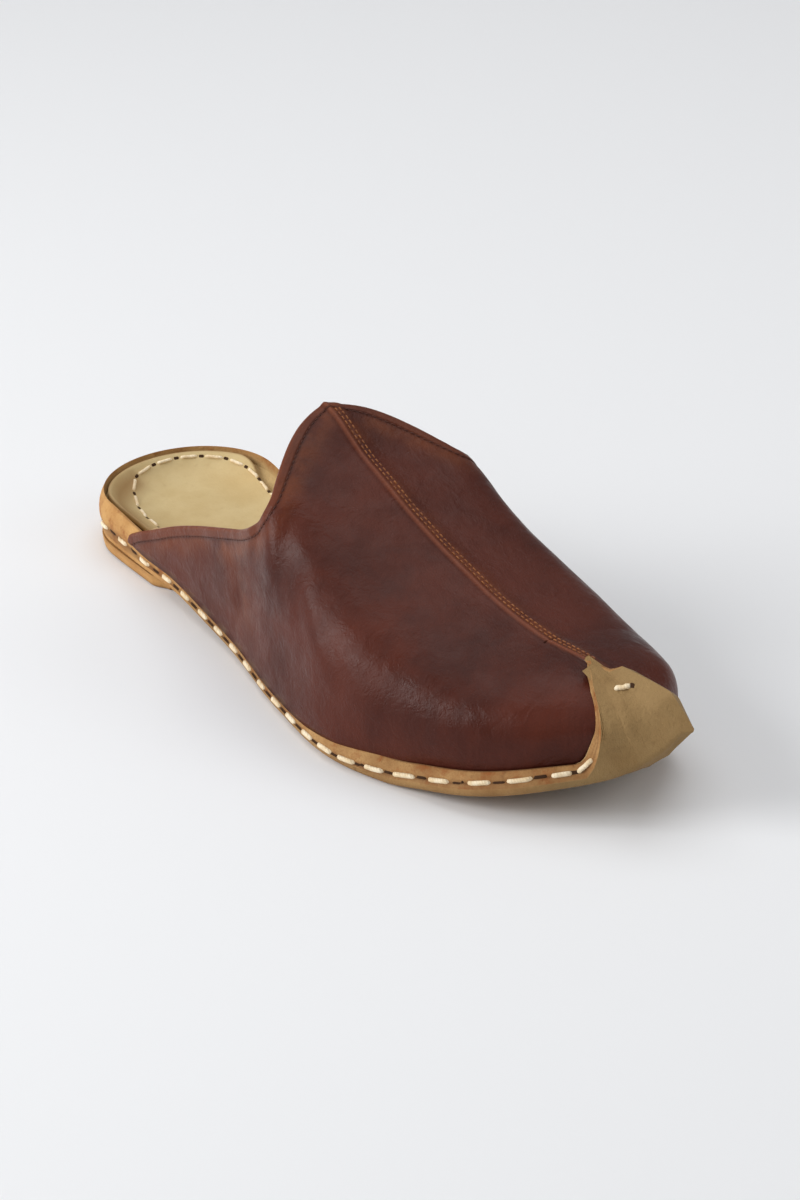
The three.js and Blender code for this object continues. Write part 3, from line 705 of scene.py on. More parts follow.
def upper_leather():
    look = Look("upper_leather", 0.42, 0.14)
    cloud = look.noise(28, 3, 0.55)
    streak = look.noise(60, 4, 0.6, 0.35, 0.7, look.stretched(1.0, 1.0, 0.35), 0.6)
    colour = look.mix(cloud, rgb(62, 28, 21), rgb(84, 39, 28))
    colour = look.mix(look.math("MULTIPLY", streak, 0.22), colour, rgb(100, 44, 27))
    pull = look.math("MULTIPLY", look.attribute("pull"), look.noise(90, 3, 0.6, 0.25, 0.65))
    colour = look.mix(pull, colour, rgb(122, 66, 38))
    # Edge colour of the opening's fold, and a painted highlight along the ridge's crest.
    colour = look.mix(look.attribute("edge"), colour, rgb(122, 68, 46))
    # Painted shade in the groove under the collar stitches and along the foot of the ridge seam.
    colour = look.mix(look.attribute("dark"), colour, rgb(38, 19, 16))
    pores = look.cells(1500)
    colour = look.mix(look.span(pores, 0.0, 0.35, 0.22, 0.0), colour, rgb(40, 20, 16))
    look.bump(look.noise(130, 4, 0.6, 0.2, 0.8, None, 0.8), 0.22, 0.8)
    look.bump(look.noise(420, 3, 0.6, 0.25, 0.75, look.stretched(0.8, 0.9, 0.7), 0.6), 0.10, 0.8)
    look.bump(look.cells(900, "DISTANCE_TO_EDGE"), 0.07, 0.8)
    look.bump(look.noise(2600, 2), 0.02, 0.6)
    rough = look.span(look.noise(120, 4, 0.6), 0.0, 1.0, 0.30, 0.44)
    return look.done(colour, rough)


def cut_leather(name, pale, dark, stain, grain=0.10):
    look = Look(name, 0.75, 0.3)
    colour = look.mix(look.noise(70, 4, 0.6), pale, dark)
    colour = look.mix(look.noise(230, 4, 0.65, 0.55, 0.85), colour, stain)
    colour = look.mix(look.noise(1500, 2, 0.5, 0.45, 0.9), colour, dark)
    look.bump(look.noise(600, 4, 0.65), grain, 0.8)
    look.bump(look.noise(2500, 2), grain * 0.4, 0.7)
    return look, colour


HEEL_PALE = rgb(204, 158, 98)
HEEL_DARK = rgb(180, 130, 74)


def sole_leather():
    look, colour = cut_leather("sole_leather", rgb(184, 142, 90), rgb(150, 106, 60), rgb(112, 70, 36), 0.16)
    suede = look.mix(look.noise(40, 3, 0.6), rgb(150, 121, 78), rgb(134, 104, 62))
    suede = look.mix(look.noise(300, 3, 0.7, 0.5, 0.9), suede, rgb(126, 98, 60))
    colour = look.mix(look.attribute("face"), colour, suede)
    heel = look.mix(look.noise(90, 3, 0.6), HEEL_PALE, HEEL_DARK)
    colour = look.mix(look.attribute("heel"), colour, heel)
    colour = look.mix(look.attribute("dish"), colour, rgb(190, 160, 110))
    mottle = look.noise(150, 5, 0.7, 0.48, 0.72)
    colour = look.mix(look.math("MULTIPLY", mottle, look.attribute("cut")), colour, rgb(150, 88, 40))
    # Dark lines along the stitches and the flap's layers, with a painted shadow along the rim's top.
    colour = look.mix(look.attribute("dark_lines_and_painted_shade"), colour, rgb(98, 62, 32))
    return look.done(colour)


def insole_leather():
    look = Look("insole_leather", 0.62, 0.35)
    colour = look.mix(look.noise(45, 4, 0.6), rgb(206, 184, 136), rgb(194, 168, 118))
    colour = look.mix(look.noise(420, 3, 0.6, 0.5, 1.1), colour, rgb(186, 158, 112))
    # Painted shade along the insole's edge and in a band beside the rim.
    colour = look.mix(look.attribute("dark_lines_and_painted_shade"), colour, rgb(150, 112, 66))
    look.bump(look.cells(1100), 0.04, 0.6)
    look.bump(look.noise(260, 4, 0.6), 0.08, 0.5)
    return look.done(colour)


def heel_leather():
    look, colour = cut_leather("heel_leather", HEEL_PALE, HEEL_DARK, rgb(146, 98, 52), 0.12)
    # Darker along the lift's bottom and at its top.
    colour = look.mix(look.attribute("dark_lines_and_painted_shade"), colour, rgb(82, 50, 28))
    return look.done(colour)


def lining_leather():
    look = Look("lining", 0.7, 0.3)
    colour = look.mix(look.noise(50, 4, 0.6), rgb(206, 180, 142), rgb(186, 154, 114))
    cracks = look.cells(340, "DISTANCE_TO_EDGE", look.stretched(0.5, 1.0, 1.6))
    colour = look.mix(look.span(cracks, 0.0, 0.06, 0.30, 0.0), colour, rgb(134, 98, 64))
    look.bump(cracks, 0.05, 0.6)
    look.bump(look.noise(170, 4, 0.6, 0.2, 0.8, look.stretched(0.4, 1.0, 1.8)), 0.25, 0.8)
    return look.done(colour)


def thread_look(name, pale, dark):
    look = Look(name, 0.55, 0.35)
    twist = make(look.tree, "ShaderNodeTexWave", {"wave_type": "BANDS", "bands_direction": "DIAGONAL"},
                 Vector=look.place, Scale=420.0, Distortion=1.5, Detail=1.0).outputs["Fac"]
    look.bump(twist, 0.12, 0.6)
    return look.done(look.mix(look.noise(300, 2), pale, dark))


def plain(name, colour, roughness):
    return Look(name, roughness, 0.2).done(colour)


UPPER_LOOK = upper_leather()
SOLE_LOOK = sole_leather()
INSOLE_LOOK = insole_leather()
HEEL_LOOK = heel_leather()
LINING_LOOK = lining_leather()
WAX_THREAD = thread_look("waxed_thread", rgb(246, 230, 200), rgb(226, 200, 158))
SEAM_THREAD = thread_look("seam_thread", rgb(150, 92, 48), rgb(118, 66, 34))
DARK_THREAD = thread_look("collar_thread", rgb(88, 44, 30), rgb(66, 32, 23))
# Dark strips of painted shade in the stitch slots and holes.
HOLE_SHADE_LOOK = plain("stitch_hole_shade", rgb(62, 40, 24), 0.9)


def side_point(at, height, side):
    """The place on the upper at a share of the length and of the peak height."""
    sign = -1 if side == "outer" else 1
    half = UPPER[:, 1:NOSE] if sign < 0 else UPPER[:, NOSE + 1:]
    flat = half.reshape(-1, 3)
    want = np.array((at * LENGTH, height * PEAK_HEIGHT))
    return flat[np.argmin(np.linalg.norm(flat[:, [0, 2]] - want, axis=1))]


# Creases of the upper: a line through points on one side, each a share of the length and of the peak
# height, then its depth (below zero for a ridge) and its width.
CREASES = rows(
    "side points depth width",
    ("outer", ((0.452, 0.84), (0.470, 0.72), (0.474, 0.62), (0.455, 0.52)), 0.9, 3.2),
    ("outer", ((0.480, 0.83), (0.503, 0.72), (0.512, 0.62), (0.500, 0.50)), -0.7, 4.2),
    ("outer", ((0.500, 0.82), (0.528, 0.70), (0.542, 0.60), (0.540, 0.48)), 0.7, 3.4),
    ("outer", ((0.530, 0.68), (0.566, 0.58), (0.585, 0.49), (0.588, 0.38)), 0.6, 3.6),
    ("outer", ((0.560, 0.64), (0.605, 0.52), (0.628, 0.42), (0.632, 0.32)), -0.5, 4.4),
    ("outer", ((0.610, 0.52), (0.655, 0.43), (0.678, 0.34), (0.684, 0.25)), 0.45, 3.6),
    ("outer", ((0.395, 0.50), (0.420, 0.40), (0.430, 0.30), (0.425, 0.20)), 0.6, 4.5),
    ("outer", ((0.680, 0.42), (0.715, 0.37), (0.740, 0.30), (0.752, 0.22)), 0.35, 4.0),
    ("outer", ((0.200, 0.22), (0.280, 0.26), (0.360, 0.30), (0.430, 0.30)), -0.5, 6.0),
    ("inner", ((0.478, 0.80), (0.510, 0.70), (0.540, 0.58), (0.552, 0.44)), 0.7, 4.0),
    ("inner", ((0.540, 0.68), (0.585, 0.60), (0.620, 0.50), (0.640, 0.38)), 0.5, 4.4),
    ("inner", ((0.420, 0.52), (0.445, 0.42), (0.455, 0.32), (0.450, 0.22)), 0.6, 4.6),
    ("inner", ((0.620, 0.56), (0.670, 0.47), (0.705, 0.38), (0.715, 0.28)), 0.4, 4.2))


CREASE_FADE = 9.0


def gap_to(points, line):
    best = np.full(len(points), 1e9)
    for p, q in zip(line[:-1], line[1:]):
        along = q - p
        t = np.clip(((points - p) @ along) / max(along @ along, 1e-9), 0, 1)
        best = np.minimum(best, np.linalg.norm(points - (p + t[:, None] * along), axis=1))
    return best


def crease_depth(points):
    depth = np.zeros(len(points))
    for crease in CREASES:
        line = catmull([side_point(at, height, crease["side"]) for at, height in crease["points"]], 6)
        d = gap_to(points, line)
        ends = np.minimum(*(np.linalg.norm(points - end, axis=1) for end in (line[0], line[-1])))
        depth += crease["depth"] * np.exp(-(d / crease["width"]) ** 2) * smoothstep(ends, 0.0, CREASE_FADE)
    return depth


def gentle_waves(points, seed=4, count=26, wave=26.0, height=0.16):
    """Low soft unevenness of hand-made leather, the same on every run."""
    rng = np.random.default_rng(seed)
    out = np.zeros(len(points))
    for _ in range(count):
        direction = unit(rng.normal(size=3))
        length = wave * rng.uniform(0.55, 1.6)
        out += np.sin(points @ direction * 2 * math.pi / length + rng.uniform(0, 2 * math.pi)) * length / wave
    return out * height / math.sqrt(count)


SEAM_PROFILE = rows(
    "at rise",
    (-2.6, 0.0), (-1.6, 0.10), (-0.8, 0.55), (-0.3, 0.95), (0.3, 1.00), (0.8, 0.80),
    (1.3, 0.62), (2.5, 0.55), (3.6, 0.55), (4.3, 0.40), (4.9, 0.05), (5.4, 0.0))
SEAM_RISE = 0.9


def profile(table, name, at):
    """Reads one column of a table for many places, straight between its rows."""
    return np.interp(at, [row["at"] for row in table], [row[name] for row in table])


def ridge_gap(points):
    """Plan distance from the ridge, above zero on the inner side."""
    x = points[:, 0]
    slope = NOSE_SWING * RIDGE_SWING_POWER * ridge_share(x) ** (RIDGE_SWING_POWER - 1)
    slope /= LENGTH * (1 - RIDGE_SWING_FROM)
    return (points[:, 1] - ridge_side(x)) / np.sqrt(1 + slope ** 2)


RELIEF_FROM_RIM = 9.0
RELIEF_TO_FLAP = (-1.0, 3.0)
SEAM_BELOW_TOP = 8.0


def upper_relief(points):
    """Creases, the raised seam and low waves, in millimetres along the surface's normal."""
    above_rim = smoothstep(points[:, 2], RIM_HEIGHT, RIM_HEIGHT + RELIEF_FROM_RIM)
    seam = profile(SEAM_PROFILE, "rise", ridge_gap(points))
    under_flap = 1 - smoothstep(points[:, 0] - FLAP_TIP_AT * LENGTH, *RELIEF_TO_FLAP)
    top_side = points[:, 2] > TOE_BOX_HEIGHT - SEAM_BELOW_TOP
    return (above_rim * under_flap * (gentle_waves(points) - crease_depth(points))
            + SEAM_RISE * seam * under_flap * top_side)


def finished_upper():
    points = UPPER.reshape(-1, 3)
    normals = UPPER_NORMAL.reshape(-1, 3)
    triangles = triangles_of(UPPER.shape[0], COUNT)
    points, triangles, normals = weld(points, triangles, normals)
    points = points + normals * upper_relief(points)[:, None]
    value = into_cut(points)
    points, normals, triangles, value = split(points, normals, triangles, value, 0.0, False)
    for row in HEM_PROFILE[1:]:
        points, normals, triangles, value = split(points, normals, triangles, value, -row["at"], True)
    return points, normals, triangles, value


# The edge of the opening: leather folded over, with a rounded rim and a groove under its stitches.
HEM_PROFILE = rows(
    "at out inward",
    (0.00, -0.62, -0.62), (0.25, -0.22, -0.25), (0.60, 0.10, 0.02), (1.10, 0.26, 0.16),
    (1.80, 0.22, 0.20), (2.70, 0.26, 0.20), (3.05, 0.20, 0.20), (3.40, -0.08, 0.16),
    (3.80, -0.10, 0.10), (4.60, 0.00, 0.00))
LEATHER = 1.35
LINING = 0.6
LINING_GAP = 0.25
LINING_SHORT = 0.5
HEM_STITCHES_IN = 3.4

EDGE_TINT = rows("at tint", (0.0, 0.75), (0.6, 0.55), (1.3, 0.30), (2.4, 0.32), (3.0, 0.20), (3.4, 0.0))
# Painted shade in the groove under the collar stitches, by depth in from the edge.
HEM_GROOVE_SHADE = rows("at tint", (2.9, 0.0), (3.3, 0.35), (3.9, 0.25), (4.6, 0.0))
# Painted highlight along the ridge's crest, by distance from the ridge.
RIDGE_PAINTED_HIGHLIGHT = rows("at tint", (-0.9, 0.0), (-0.4, 0.75), (0.2, 0.80), (0.6, 0.15), (1.4, 0.0))
# Painted shade along the foot of the raised ridge seam, on both its sides.
RIDGE_FOOT_SHADE = rows("at tint", (-2.2, 0.0), (-1.2, 0.3), (-0.8, 0.0), (4.2, 0.0), (4.7, 0.25), (5.6, 0.0))
# Places where the leather is pulled and looks paler: tint, where its middle lies and how far it fades.
COLLAR_PULL = {"tint": 0.5, "at": 5.5, "reach": 4.0}
SEAM_PULL = {"tint": 0.55, "at": 2.6, "reach": 2.6}
BEND_PULL = {"tint": 0.30, "at": 0.0, "reach": 9.0}
BEND_LINE = ((0.395, 0.54), (0.42, 0.42), (0.44, 0.28))
DARKEST_PAINTED_SHADE = 0.6


def pulled(spot, gap):
    return spot["tint"] * np.exp(-((gap - spot["at"]) / spot["reach"]) ** 2)


def upper_tints(points, depth_in):
    """Shares of edge colour with a painted highlight along the ridge's crest, pulled leather, and painted
    shade in the hem's groove and at the foot of the ridge seam, at each point.
    """
    beside = ridge_gap(points)
    on_top = smoothstep(points[:, 2], TOE_BOX_HEIGHT - 6, TOE_BOX_HEIGHT)
    edge = np.maximum(profile(EDGE_TINT, "tint", depth_in), on_top * profile(RIDGE_PAINTED_HIGHLIGHT, "tint", beside))
    dark = profile(HEM_GROOVE_SHADE, "tint", depth_in) + on_top * profile(RIDGE_FOOT_SHADE, "tint", beside)
    bend = catmull([side_point(*place, "outer") for place in BEND_LINE], 6)
    pull = pulled(COLLAR_PULL, depth_in) + on_top * pulled(SEAM_PULL, beside)
    pull += pulled(BEND_PULL, gap_to(points, bend))
    return {"edge": edge, "pull": np.clip(pull, 0, 1), "dark": np.clip(dark, 0, DARKEST_PAINTED_SHADE)}


up_points, up_normals, up_triangles, up_value = finished_upper()
hem_out, hem_in = (profile(HEM_PROFILE, name, -up_value) for name in ("out", "inward"))
points, faces = shell(up_points, up_normals, up_triangles, hem_out, LEATHER + hem_in)
both_faces = {name: np.tile(tint, 2) for name, tint in upper_tints(up_points, -up_value).items()}
mesh_object("upper_leather", points, faces, UPPER_LOOK, "upper", attributes=both_faces)
UPPER_TREE = tree_of(up_points + up_normals * hem_out[:, None], up_triangles)


LINING_WRINKLES = {"seed": 9, "count": 40, "wave": 30.0, "height": 0.25}
LINING_WRINKLES_BY = (0.45, 0.8, 2.2)
LINING_FOLDS = {"seed": 12, "count": 30, "wave": 16.0, "height": 0.12}
LINING_FOLDS_BY = (0.3, 0.6, 3.0)
LINING_LOWEST = -0.15
LINING_IN = 0.3


def lining_mesh():
    """Thin lining inside the leather, a little short of the opening's edge and wrinkled across."""
    last_normal = grid_normals(LAST)
    grid = LAST - last_normal * (LEATHER + LINING_GAP)
    triangles = triangles_of(LAST.shape[0], COUNT)
    points, triangles, normals = weld(grid.reshape(-1, 3), triangles, last_normal.reshape(-1, 3))
    wrinkles = gentle_waves(points * LINING_WRINKLES_BY, **LINING_WRINKLES)
    folds = gentle_waves(points * LINING_FOLDS_BY, **LINING_FOLDS)
    points = points - normals * (np.maximum(wrinkles, LINING_LOWEST) + folds + LINING_IN)[:, None]
    value = into_cut(points)
    points, normals, triangles, value = split(points, normals, triangles, value, -LINING_SHORT, False)
    return shell(points, normals, triangles, np.zeros(len(points)), np.full(len(points), LINING))


points, faces = lining_mesh()
mesh_object("upper_lining", points, faces, LINING_LOOK)


def level_line(level):
    """Points of the upper along one level of the cut, from the outer heel end to the inner one."""
    on = np.abs(up_value - level) < 1e-9
    edges = np.concatenate([up_triangles[:, [0, 1]], up_triangles[:, [1, 2]], up_triangles[:, [2, 0]]])
    edges = np.unique(np.sort(edges[on[edges].all(axis=1)], axis=1), axis=0)
    line = up_points[chain_of(edges)]
    return line if line[0][1] < 0 else line[::-1]


def fine_row(line, name, pitch, stitch, radius, material, lift=0.35):
    """A row of small machine stitches along a line on the upper."""
    threads = Threads(6)
    line = resample(line, pitch, 6)
    for k in range(len(line) - 1):
        share = stitch / pitch
        start = lerp(line[k], line[k + 1], (1 - share) / 2)
        end = lerp(line[k], line[k + 1], (1 + share) / 2)
        bowed_stitch(threads, UPPER_TREE, start, end, radius, radius * 1.9, 1.0, 6, lift)
    mesh_object(name, threads.points, threads.faces, material)


COLLAR_ROW = {"pitch": 2.2, "stitch": 1.5, "radius": 0.2, "material": DARK_THREAD}
SEAM_ROW = {"pitch": 2.1, "stitch": 1.45, "radius": 0.27, "material": SEAM_THREAD}
SEAM_ROWS_BESIDE = (1.7, 3.2)
SEAM_FROM_THROAT = 4.2
SEAM_TO_FLAP = 1.5
fine_row(level_line(-HEM_STITCHES_IN), "collar_stitches", **COLLAR_ROW)


def seam_line(offset, from_x, to_x):
    """Points on the upper at one distance beside the ridge."""
    line = []
    for x in np.linspace(from_x, to_x, 160):
        y = ridge_side(x) + offset
        hit = UPPER_TREE.ray_cast(Vector((x, y, 2 * PEAK_HEIGHT)), Vector((0, 0, -1)))
        if hit[0] is not None:
            line.append(np.array(hit[0]))
    return np.array(line)


for number, offset in enumerate(SEAM_ROWS_BESIDE):
    from_x = THROAT[0]["outer"] * LENGTH + SEAM_FROM_THROAT
    line = seam_line(offset, from_x, FLAP_TIP_AT * LENGTH - SEAM_TO_FLAP)
    fine_row(line, "seam_stitches_%d" % (number + 1), **SEAM_ROW)


# Outsole: from the middle of its underside round the corner, up the outer face of the toe flap where
# there is one, over the cut edge, down the flap's inner face and over the dish to the middle again.
WIDEST = 1 + len(RISE_SHARES)
UNDER_STEPS = ((1.0, 0.0), (0.75, 0.0), (0.5, 0.0), (0.3, 0.0), (0.15, 0.0))
BAND_STEPS = (0.0, 0.03, 0.08, 0.13, 0.17, 0.21, 0.25, 0.30, 0.36, 0.48, 0.62, 0.78, 0.90, 0.97, 1.0)
FLAP_STEPS = 26
ARC_STEPS = 5
ARC_GAP = 0.02
ARC_RISE = 0.92
GROOVE = 0.45
GROOVE_WIDTH = 0.075
BAND_CROWN = 0.25
FLAP_EDGE_LIFT = 0.18
HEEL_ROUND = 0.35
HEEL_ROUND_TO = (0.20, 0.30)
EDGE_FULL_LIFT = 3
FLAP_FULL = 4
SOLE_SHARP = math.radians(42)


# The toe flap, by the direction of a rib in degrees from straight ahead: how many levels its outer face
# climbs, and where its slanted cut edge meets the upper.
FACE_LEVELS = rows(
    "at level",
    (-18.5, 1.0), (-15.0, 3.5), (-12.6, 7.0), (-11.0, 10.5), (-9.8, 15.0), (-9.2, 19.0), (-8.4, 22.5),
    (-6.8, 25.0), (-1.8, 28.8), (3.3, 30.8), (7.8, 32.0), (8.3, 31.4), (8.9, 30.0), (9.6, 27.3),
    (10.3, 24.8), (11.0, 22.6), (12.5, 21.0), (13.0, 19.7), (14.1, 18.9), (16.7, 17.9), (19.0, 15.5),
    (21.0, 10.0), (23.0, 5.0), (25.0, 1.0))
EDGE_LEVELS = rows(
    "at level",
    (-22.0, 1.0), (-19.0, 2.0), (-17.2, 4.0), (-15.2, 8.0), (-12.9, 13.0), (-11.7, 17.0), (-10.6, 20.0),
    (-8.2, 25.0), (-3.6, 28.7), (1.0, 30.8), (5.0, 31.9), (8.0, 32.4), (8.5, 31.8), (9.1, 30.3),
    (9.8, 27.7), (10.5, 25.2), (11.2, 23.0), (12.6, 21.5), (13.2, 20.2), (14.3, 19.4), (16.9, 18.5),
    (19.3, 16.2), (21.4, 11.0), (23.4, 6.0), (25.6, 1.0))


def turn_of(rib):
    """A rib's direction in degrees from straight ahead, towards the inner side."""
    return math.degrees(math.atan2(rib.along[1], rib.along[0]))


def flap_level(i, table):
    if not IN_FAN[i]:
        return 1.0
    return float(profile(table, "level", turn_of(RIBS[i])))


OUTER_FORM = UPPER + UPPER_NORMAL * (CLEARANCE + FLAP_LEATHER)
INNER_FORM = UPPER + UPPER_NORMAL * CLEARANCE


def at_level(column_points, level):
    k = int(min(len(column_points) - 2, math.floor(level)))
    return lerp(column_points[k], column_points[k + 1], level - k)


def outsole_column(i):
    rib = RIBS[i]
    x = rib.end[0]
    rim = rim_at(x)
    corner = rim * column(EDGE, "corner", x / LENGTH)
    round_ = rim * column(EDGE, "round", x / LENGTH)
    round_ *= lerp(HEEL_ROUND, 1.0, smoothstep(x / LENGTH, *HEEL_ROUND_TO))
    tuck = RIM_WIDTH * column(EDGE, "tuck", x / LENGTH)

    def under(inset, lift):
        p = rib.at(inset, 0)
        p[2] = underside_at(p[0]) + toe_sag(p[0], p[1]) + lift
        return p

    corner_point, rim_point = cut_edge(rib, 0.0), cut_edge(rib, 1.0)
    outer, inner = OUTER_FORM[:, i].copy(), INNER_FORM[:, i].copy()
    for level in range(WIDEST + 1):
        share = max(0.0, (level - 1) / (WIDEST - 1))
        outer[level] = lerp(corner_point, OUTER_FORM[WIDEST, i], share)
        inner[level] = lerp(rim_point, INNER_FORM[WIDEST, i], share)
    outer_top = flap_level(i, FACE_LEVELS)
    inner_top = max(flap_level(i, EDGE_LEVELS), outer_top)
    points = [under(rib.reach * share, lift) for share, lift in UNDER_STEPS]
    for k in range(ARC_STEPS):
        a = math.pi / 2 * k / ARC_STEPS
        inset = tuck + round_ * (1 - math.sin(a)) + ARC_GAP
        points.append(under(inset, corner * ARC_RISE * (1 - math.cos(a))))
    points += [at_level(outer, level) for level in np.linspace(1.0, outer_top, FLAP_STEPS)]
    edge_out = at_level(outer, outer_top)
    edge_lift = FLAP_EDGE_LIFT * min(1.0, (inner_top - 1) / EDGE_FULL_LIFT)
    edge_in = lerp(at_level(inner, inner_top), at_level(outer, inner_top), edge_lift)
    flapness = min(1.0, (inner_top - 1) / FLAP_FULL)
    down = unit(np.cross(rib.at(0, 0) - rib.at(1, 0), (0, 0, 1.0)))
    fall = unit(np.cross(edge_in - edge_out, down))
    fall = fall if fall[2] > 0 else -fall
    stitch = column(STITCH_LINE, "share", x / LENGTH)
    for t in BAND_STEPS:
        straight = lerp(corner_point, rim_point, t)
        groove = GROOVE * math.exp(-((t - stitch) / GROOVE_WIDTH) ** 2)
        relief = (BAND_CROWN * math.sin(math.pi * t) - groove) * (1 - flapness)
        points.append(lerp(edge_out, edge_in, t) + fall * relief + cut_edge(rib, t) - straight)
    points += [at_level(inner, level) for level in np.linspace(inner_top, 1.0, FLAP_STEPS)]
    points += [rib.at(inset, z) for inset, z in DISH_KNOTS[i]]
    return points, inner_top


def outsole_mesh():
    columns, tops = zip(*[outsole_column(i) for i in range(COUNT)])
    grid = np.array(columns).transpose(1, 0, 2)
    return grid, np.array(tops)


SOLE_GRID, FLAP_TOPS = outsole_mesh()
BAND_START = len(UNDER_STEPS) + ARC_STEPS + FLAP_STEPS
BAND_END = BAND_START + len(BAND_STEPS)
HAS_FLAP = FLAP_TOPS > 1.0
FLAPNESS = np.clip((FLAP_TOPS - 1) / FLAP_FULL, 0.0, 1.0)


# Tints of the sole: burnt lines by their place on the cut edge, a painted shadow along the rim's top where
# the upper meets it, and stretches as shares of the length.
STITCH_BURN = {"line": 0.45, "width": 0.10, "below": 0.30, "wobble": 0.1}
FLAP_BURN = 0.5
FLAP_LINES = rows("at tint", (0.34, 1.0), (0.66, 0.7))
FLAP_LINE_WIDTH = 0.07
# Painted shadow along the rim's top, where the upper meets it: faint at the heel's back, fuller towards the
# waist.
RIM_SHADOW = {"heel": 0.15, "more": 0.6, "from": 0.93}
RIM_SHADOW_GROWS = (20.0, 60.0)
SUEDE_SIDE = 0.35
SUEDE_TO_FLAP = (0.88 * LENGTH, 0.93 * LENGTH)
HEEL_COLOUR_TO = (0.20 * LENGTH, 0.34 * LENGTH)


def sole_attributes():
    """Shares of dish, suede face, cut edge, dark lines with a painted shadow along the rim's top, and heel
    colour for each place of the outsole's grid.
    """
    rings = SOLE_GRID.shape[0]
    face, cut, dark_lines_and_painted_shade = (np.zeros((rings, COUNT)) for _ in range(3))
    wobble = 0.2 * np.sin(np.arange(COUNT) * 0.37) + 0.15 * np.sin(np.arange(COUNT) * 0.11 + 1)
    ends = np.array([r.end[0] for r in RIBS])
    near_flap = smoothstep(ends, *SUEDE_TO_FLAP)
    stitch = np.array([column(STITCH_LINE, "share", x / LENGTH) for x in ends])
    for k in range(rings):
        if k < BAND_START:
            face[k] = np.where(HAS_FLAP, 1.0, lerp(SUEDE_SIDE, 1.0, near_flap))
        elif k < BAND_END:
            t = BAND_STEPS[k - BAND_START]
            cut[k] = 1.0
            line = STITCH_BURN["line"] * np.exp(-((t - stitch) / STITCH_BURN["width"]) ** 2)
            sewn = line + STITCH_BURN["below"] * (t < stitch) + STITCH_BURN["wobble"] * wobble
            flap = sum(row["tint"] * math.exp(-((t - row["at"]) / FLAP_LINE_WIDTH) ** 2)
                       for row in FLAP_LINES)
            rim_shadow = RIM_SHADOW["heel"] + RIM_SHADOW["more"] * smoothstep(ends, *RIM_SHADOW_GROWS)
            rim_shadow *= (t > RIM_SHADOW["from"]) * (1 - FLAPNESS)
            dark_lines_and_painted_shade[k] = np.maximum(lerp(sewn, FLAP_BURN * flap, FLAPNESS), rim_shadow)
    heel = 1 - smoothstep(ends, *HEEL_COLOUR_TO)
    heel = np.tile(heel, (rings, 1)) * (cut + (np.arange(rings) < BAND_START)[:, None] * 1.0)
    dish = np.tile((np.arange(rings) >= BAND_END)[:, None] * 1.0, COUNT)
    return dish.ravel(), face.ravel(), cut.ravel(), np.clip(dark_lines_and_painted_shade, 0, 1).ravel(), np.clip(heel, 0, 1).ravel()


def facing_out(points, triangles):
    """The triangles of a closed form, turned so that they face outward."""
    a, b, c = (points[triangles[:, k]] for k in range(3))
    return triangles if np.einsum("ij,ij->i", a, np.cross(b, c)).sum() > 0 else triangles[:, ::-1]


sole_triangles = triangles_of(SOLE_GRID.shape[0], COUNT)
points, sole_triangles, *sole_tints = weld(SOLE_GRID.reshape(-1, 3), sole_triangles, *sole_attributes())
sole_triangles = facing_out(points, sole_triangles)
SOLE_TREE = tree_of(points, sole_triangles)
outsole = mesh_object("sole_dressed", points, sole_triangles, SOLE_LOOK, "outsole",
                      attributes=dict(zip(("dish", "face", "cut", "dark_lines_and_painted_shade", "heel"), sole_tints)))
outsole.data.set_sharp_from_angle(angle=SOLE_SHARP)


def layered(rings):
    """Closed solid from rings that run from the middle of one face to the middle of the other."""
    grid = np.array(rings)
    points, triangles = weld(grid.reshape(-1, 3), triangles_of(grid.shape[0], grid.shape[1]))
    return points, facing_out(points, triangles)


INSOLE_TUCK_AT = (0.055, 0.13)
INSOLE_TOE_AT = (0.86, 0.94)
INSOLE_TOE_SHORT = 14.0
INSOLE_EDGE_RISE = 1.2
INSOLE_EDGE_REACH = 4.0
INSOLE_FOOT_IN = 0.3
INSOLE_FOOT_UP = 0.4
INSOLE_STEP = 1.2
INSOLE_SIDE = rows("inset below_top", (0.1, 0.9), (0.5, 0.35), (0.9, 0.1))
# Painted shade on the insole's edge, where it sits below the rim, by ring.
INSOLE_EDGE_SHADE = rows("at tint", (2, 0.0), (3, 0.6), (6, 0.6), (7, 0.2), (8, 0.0))


def insole_mesh():
    """Rings from the middle of the insole's underside, round its soft edge, to the middle of its top."""
    rings = [[] for _ in range(15)]
    for i, rib in enumerate(RIBS):
        at = rib.end[0] / LENGTH
        to_upper = smoothstep(at, *INSOLE_TUCK_AT)
        beside_upper = FOOT_INSET + WALL + 3 * CLEARANCE + INSOLE_TOE_SHORT * smoothstep(at, *INSOLE_TOE_AT)
        lean = RIM_WIDTH * column(EDGE, "lean", at)
        inset = lerp(lean + RIM_WIDTH * INSOLE_FROM_RIM, beside_upper, to_upper)

        def bed(start, lift):
            near_rim = max(0.0, 1 - (start - inset) / INSOLE_EDGE_REACH) * (1 - to_upper) * (lift > 1)
            return rib.at(start, dish_floor(i, start) + INSOLE_BED + lift + INSOLE_EDGE_RISE * near_rim)

        steps = [max(inset + INSOLE_STEP + k, knot[0]) for k, knot in enumerate(DISH_KNOTS[i][1:5])]
        column_points = [bed(start, 0) for start in (rib.reach, steps[3], steps[1], inset + INSOLE_FOOT_IN)]
        column_points.append(bed(inset, INSOLE_FOOT_UP))
        column_points += [bed(inset + row["inset"], INSOLE_THICKNESS - row["below_top"])
                          for row in INSOLE_SIDE]
        column_points += [bed(start, INSOLE_THICKNESS) for start in
                          (lerp(inset + 1, steps[0], 0.5), steps[0], lerp(steps[0], steps[1], 0.5), steps[1],
                           steps[2], steps[3], rib.reach)]
        for ring, p in zip(rings, column_points):
            ring.append(p)
    return rings


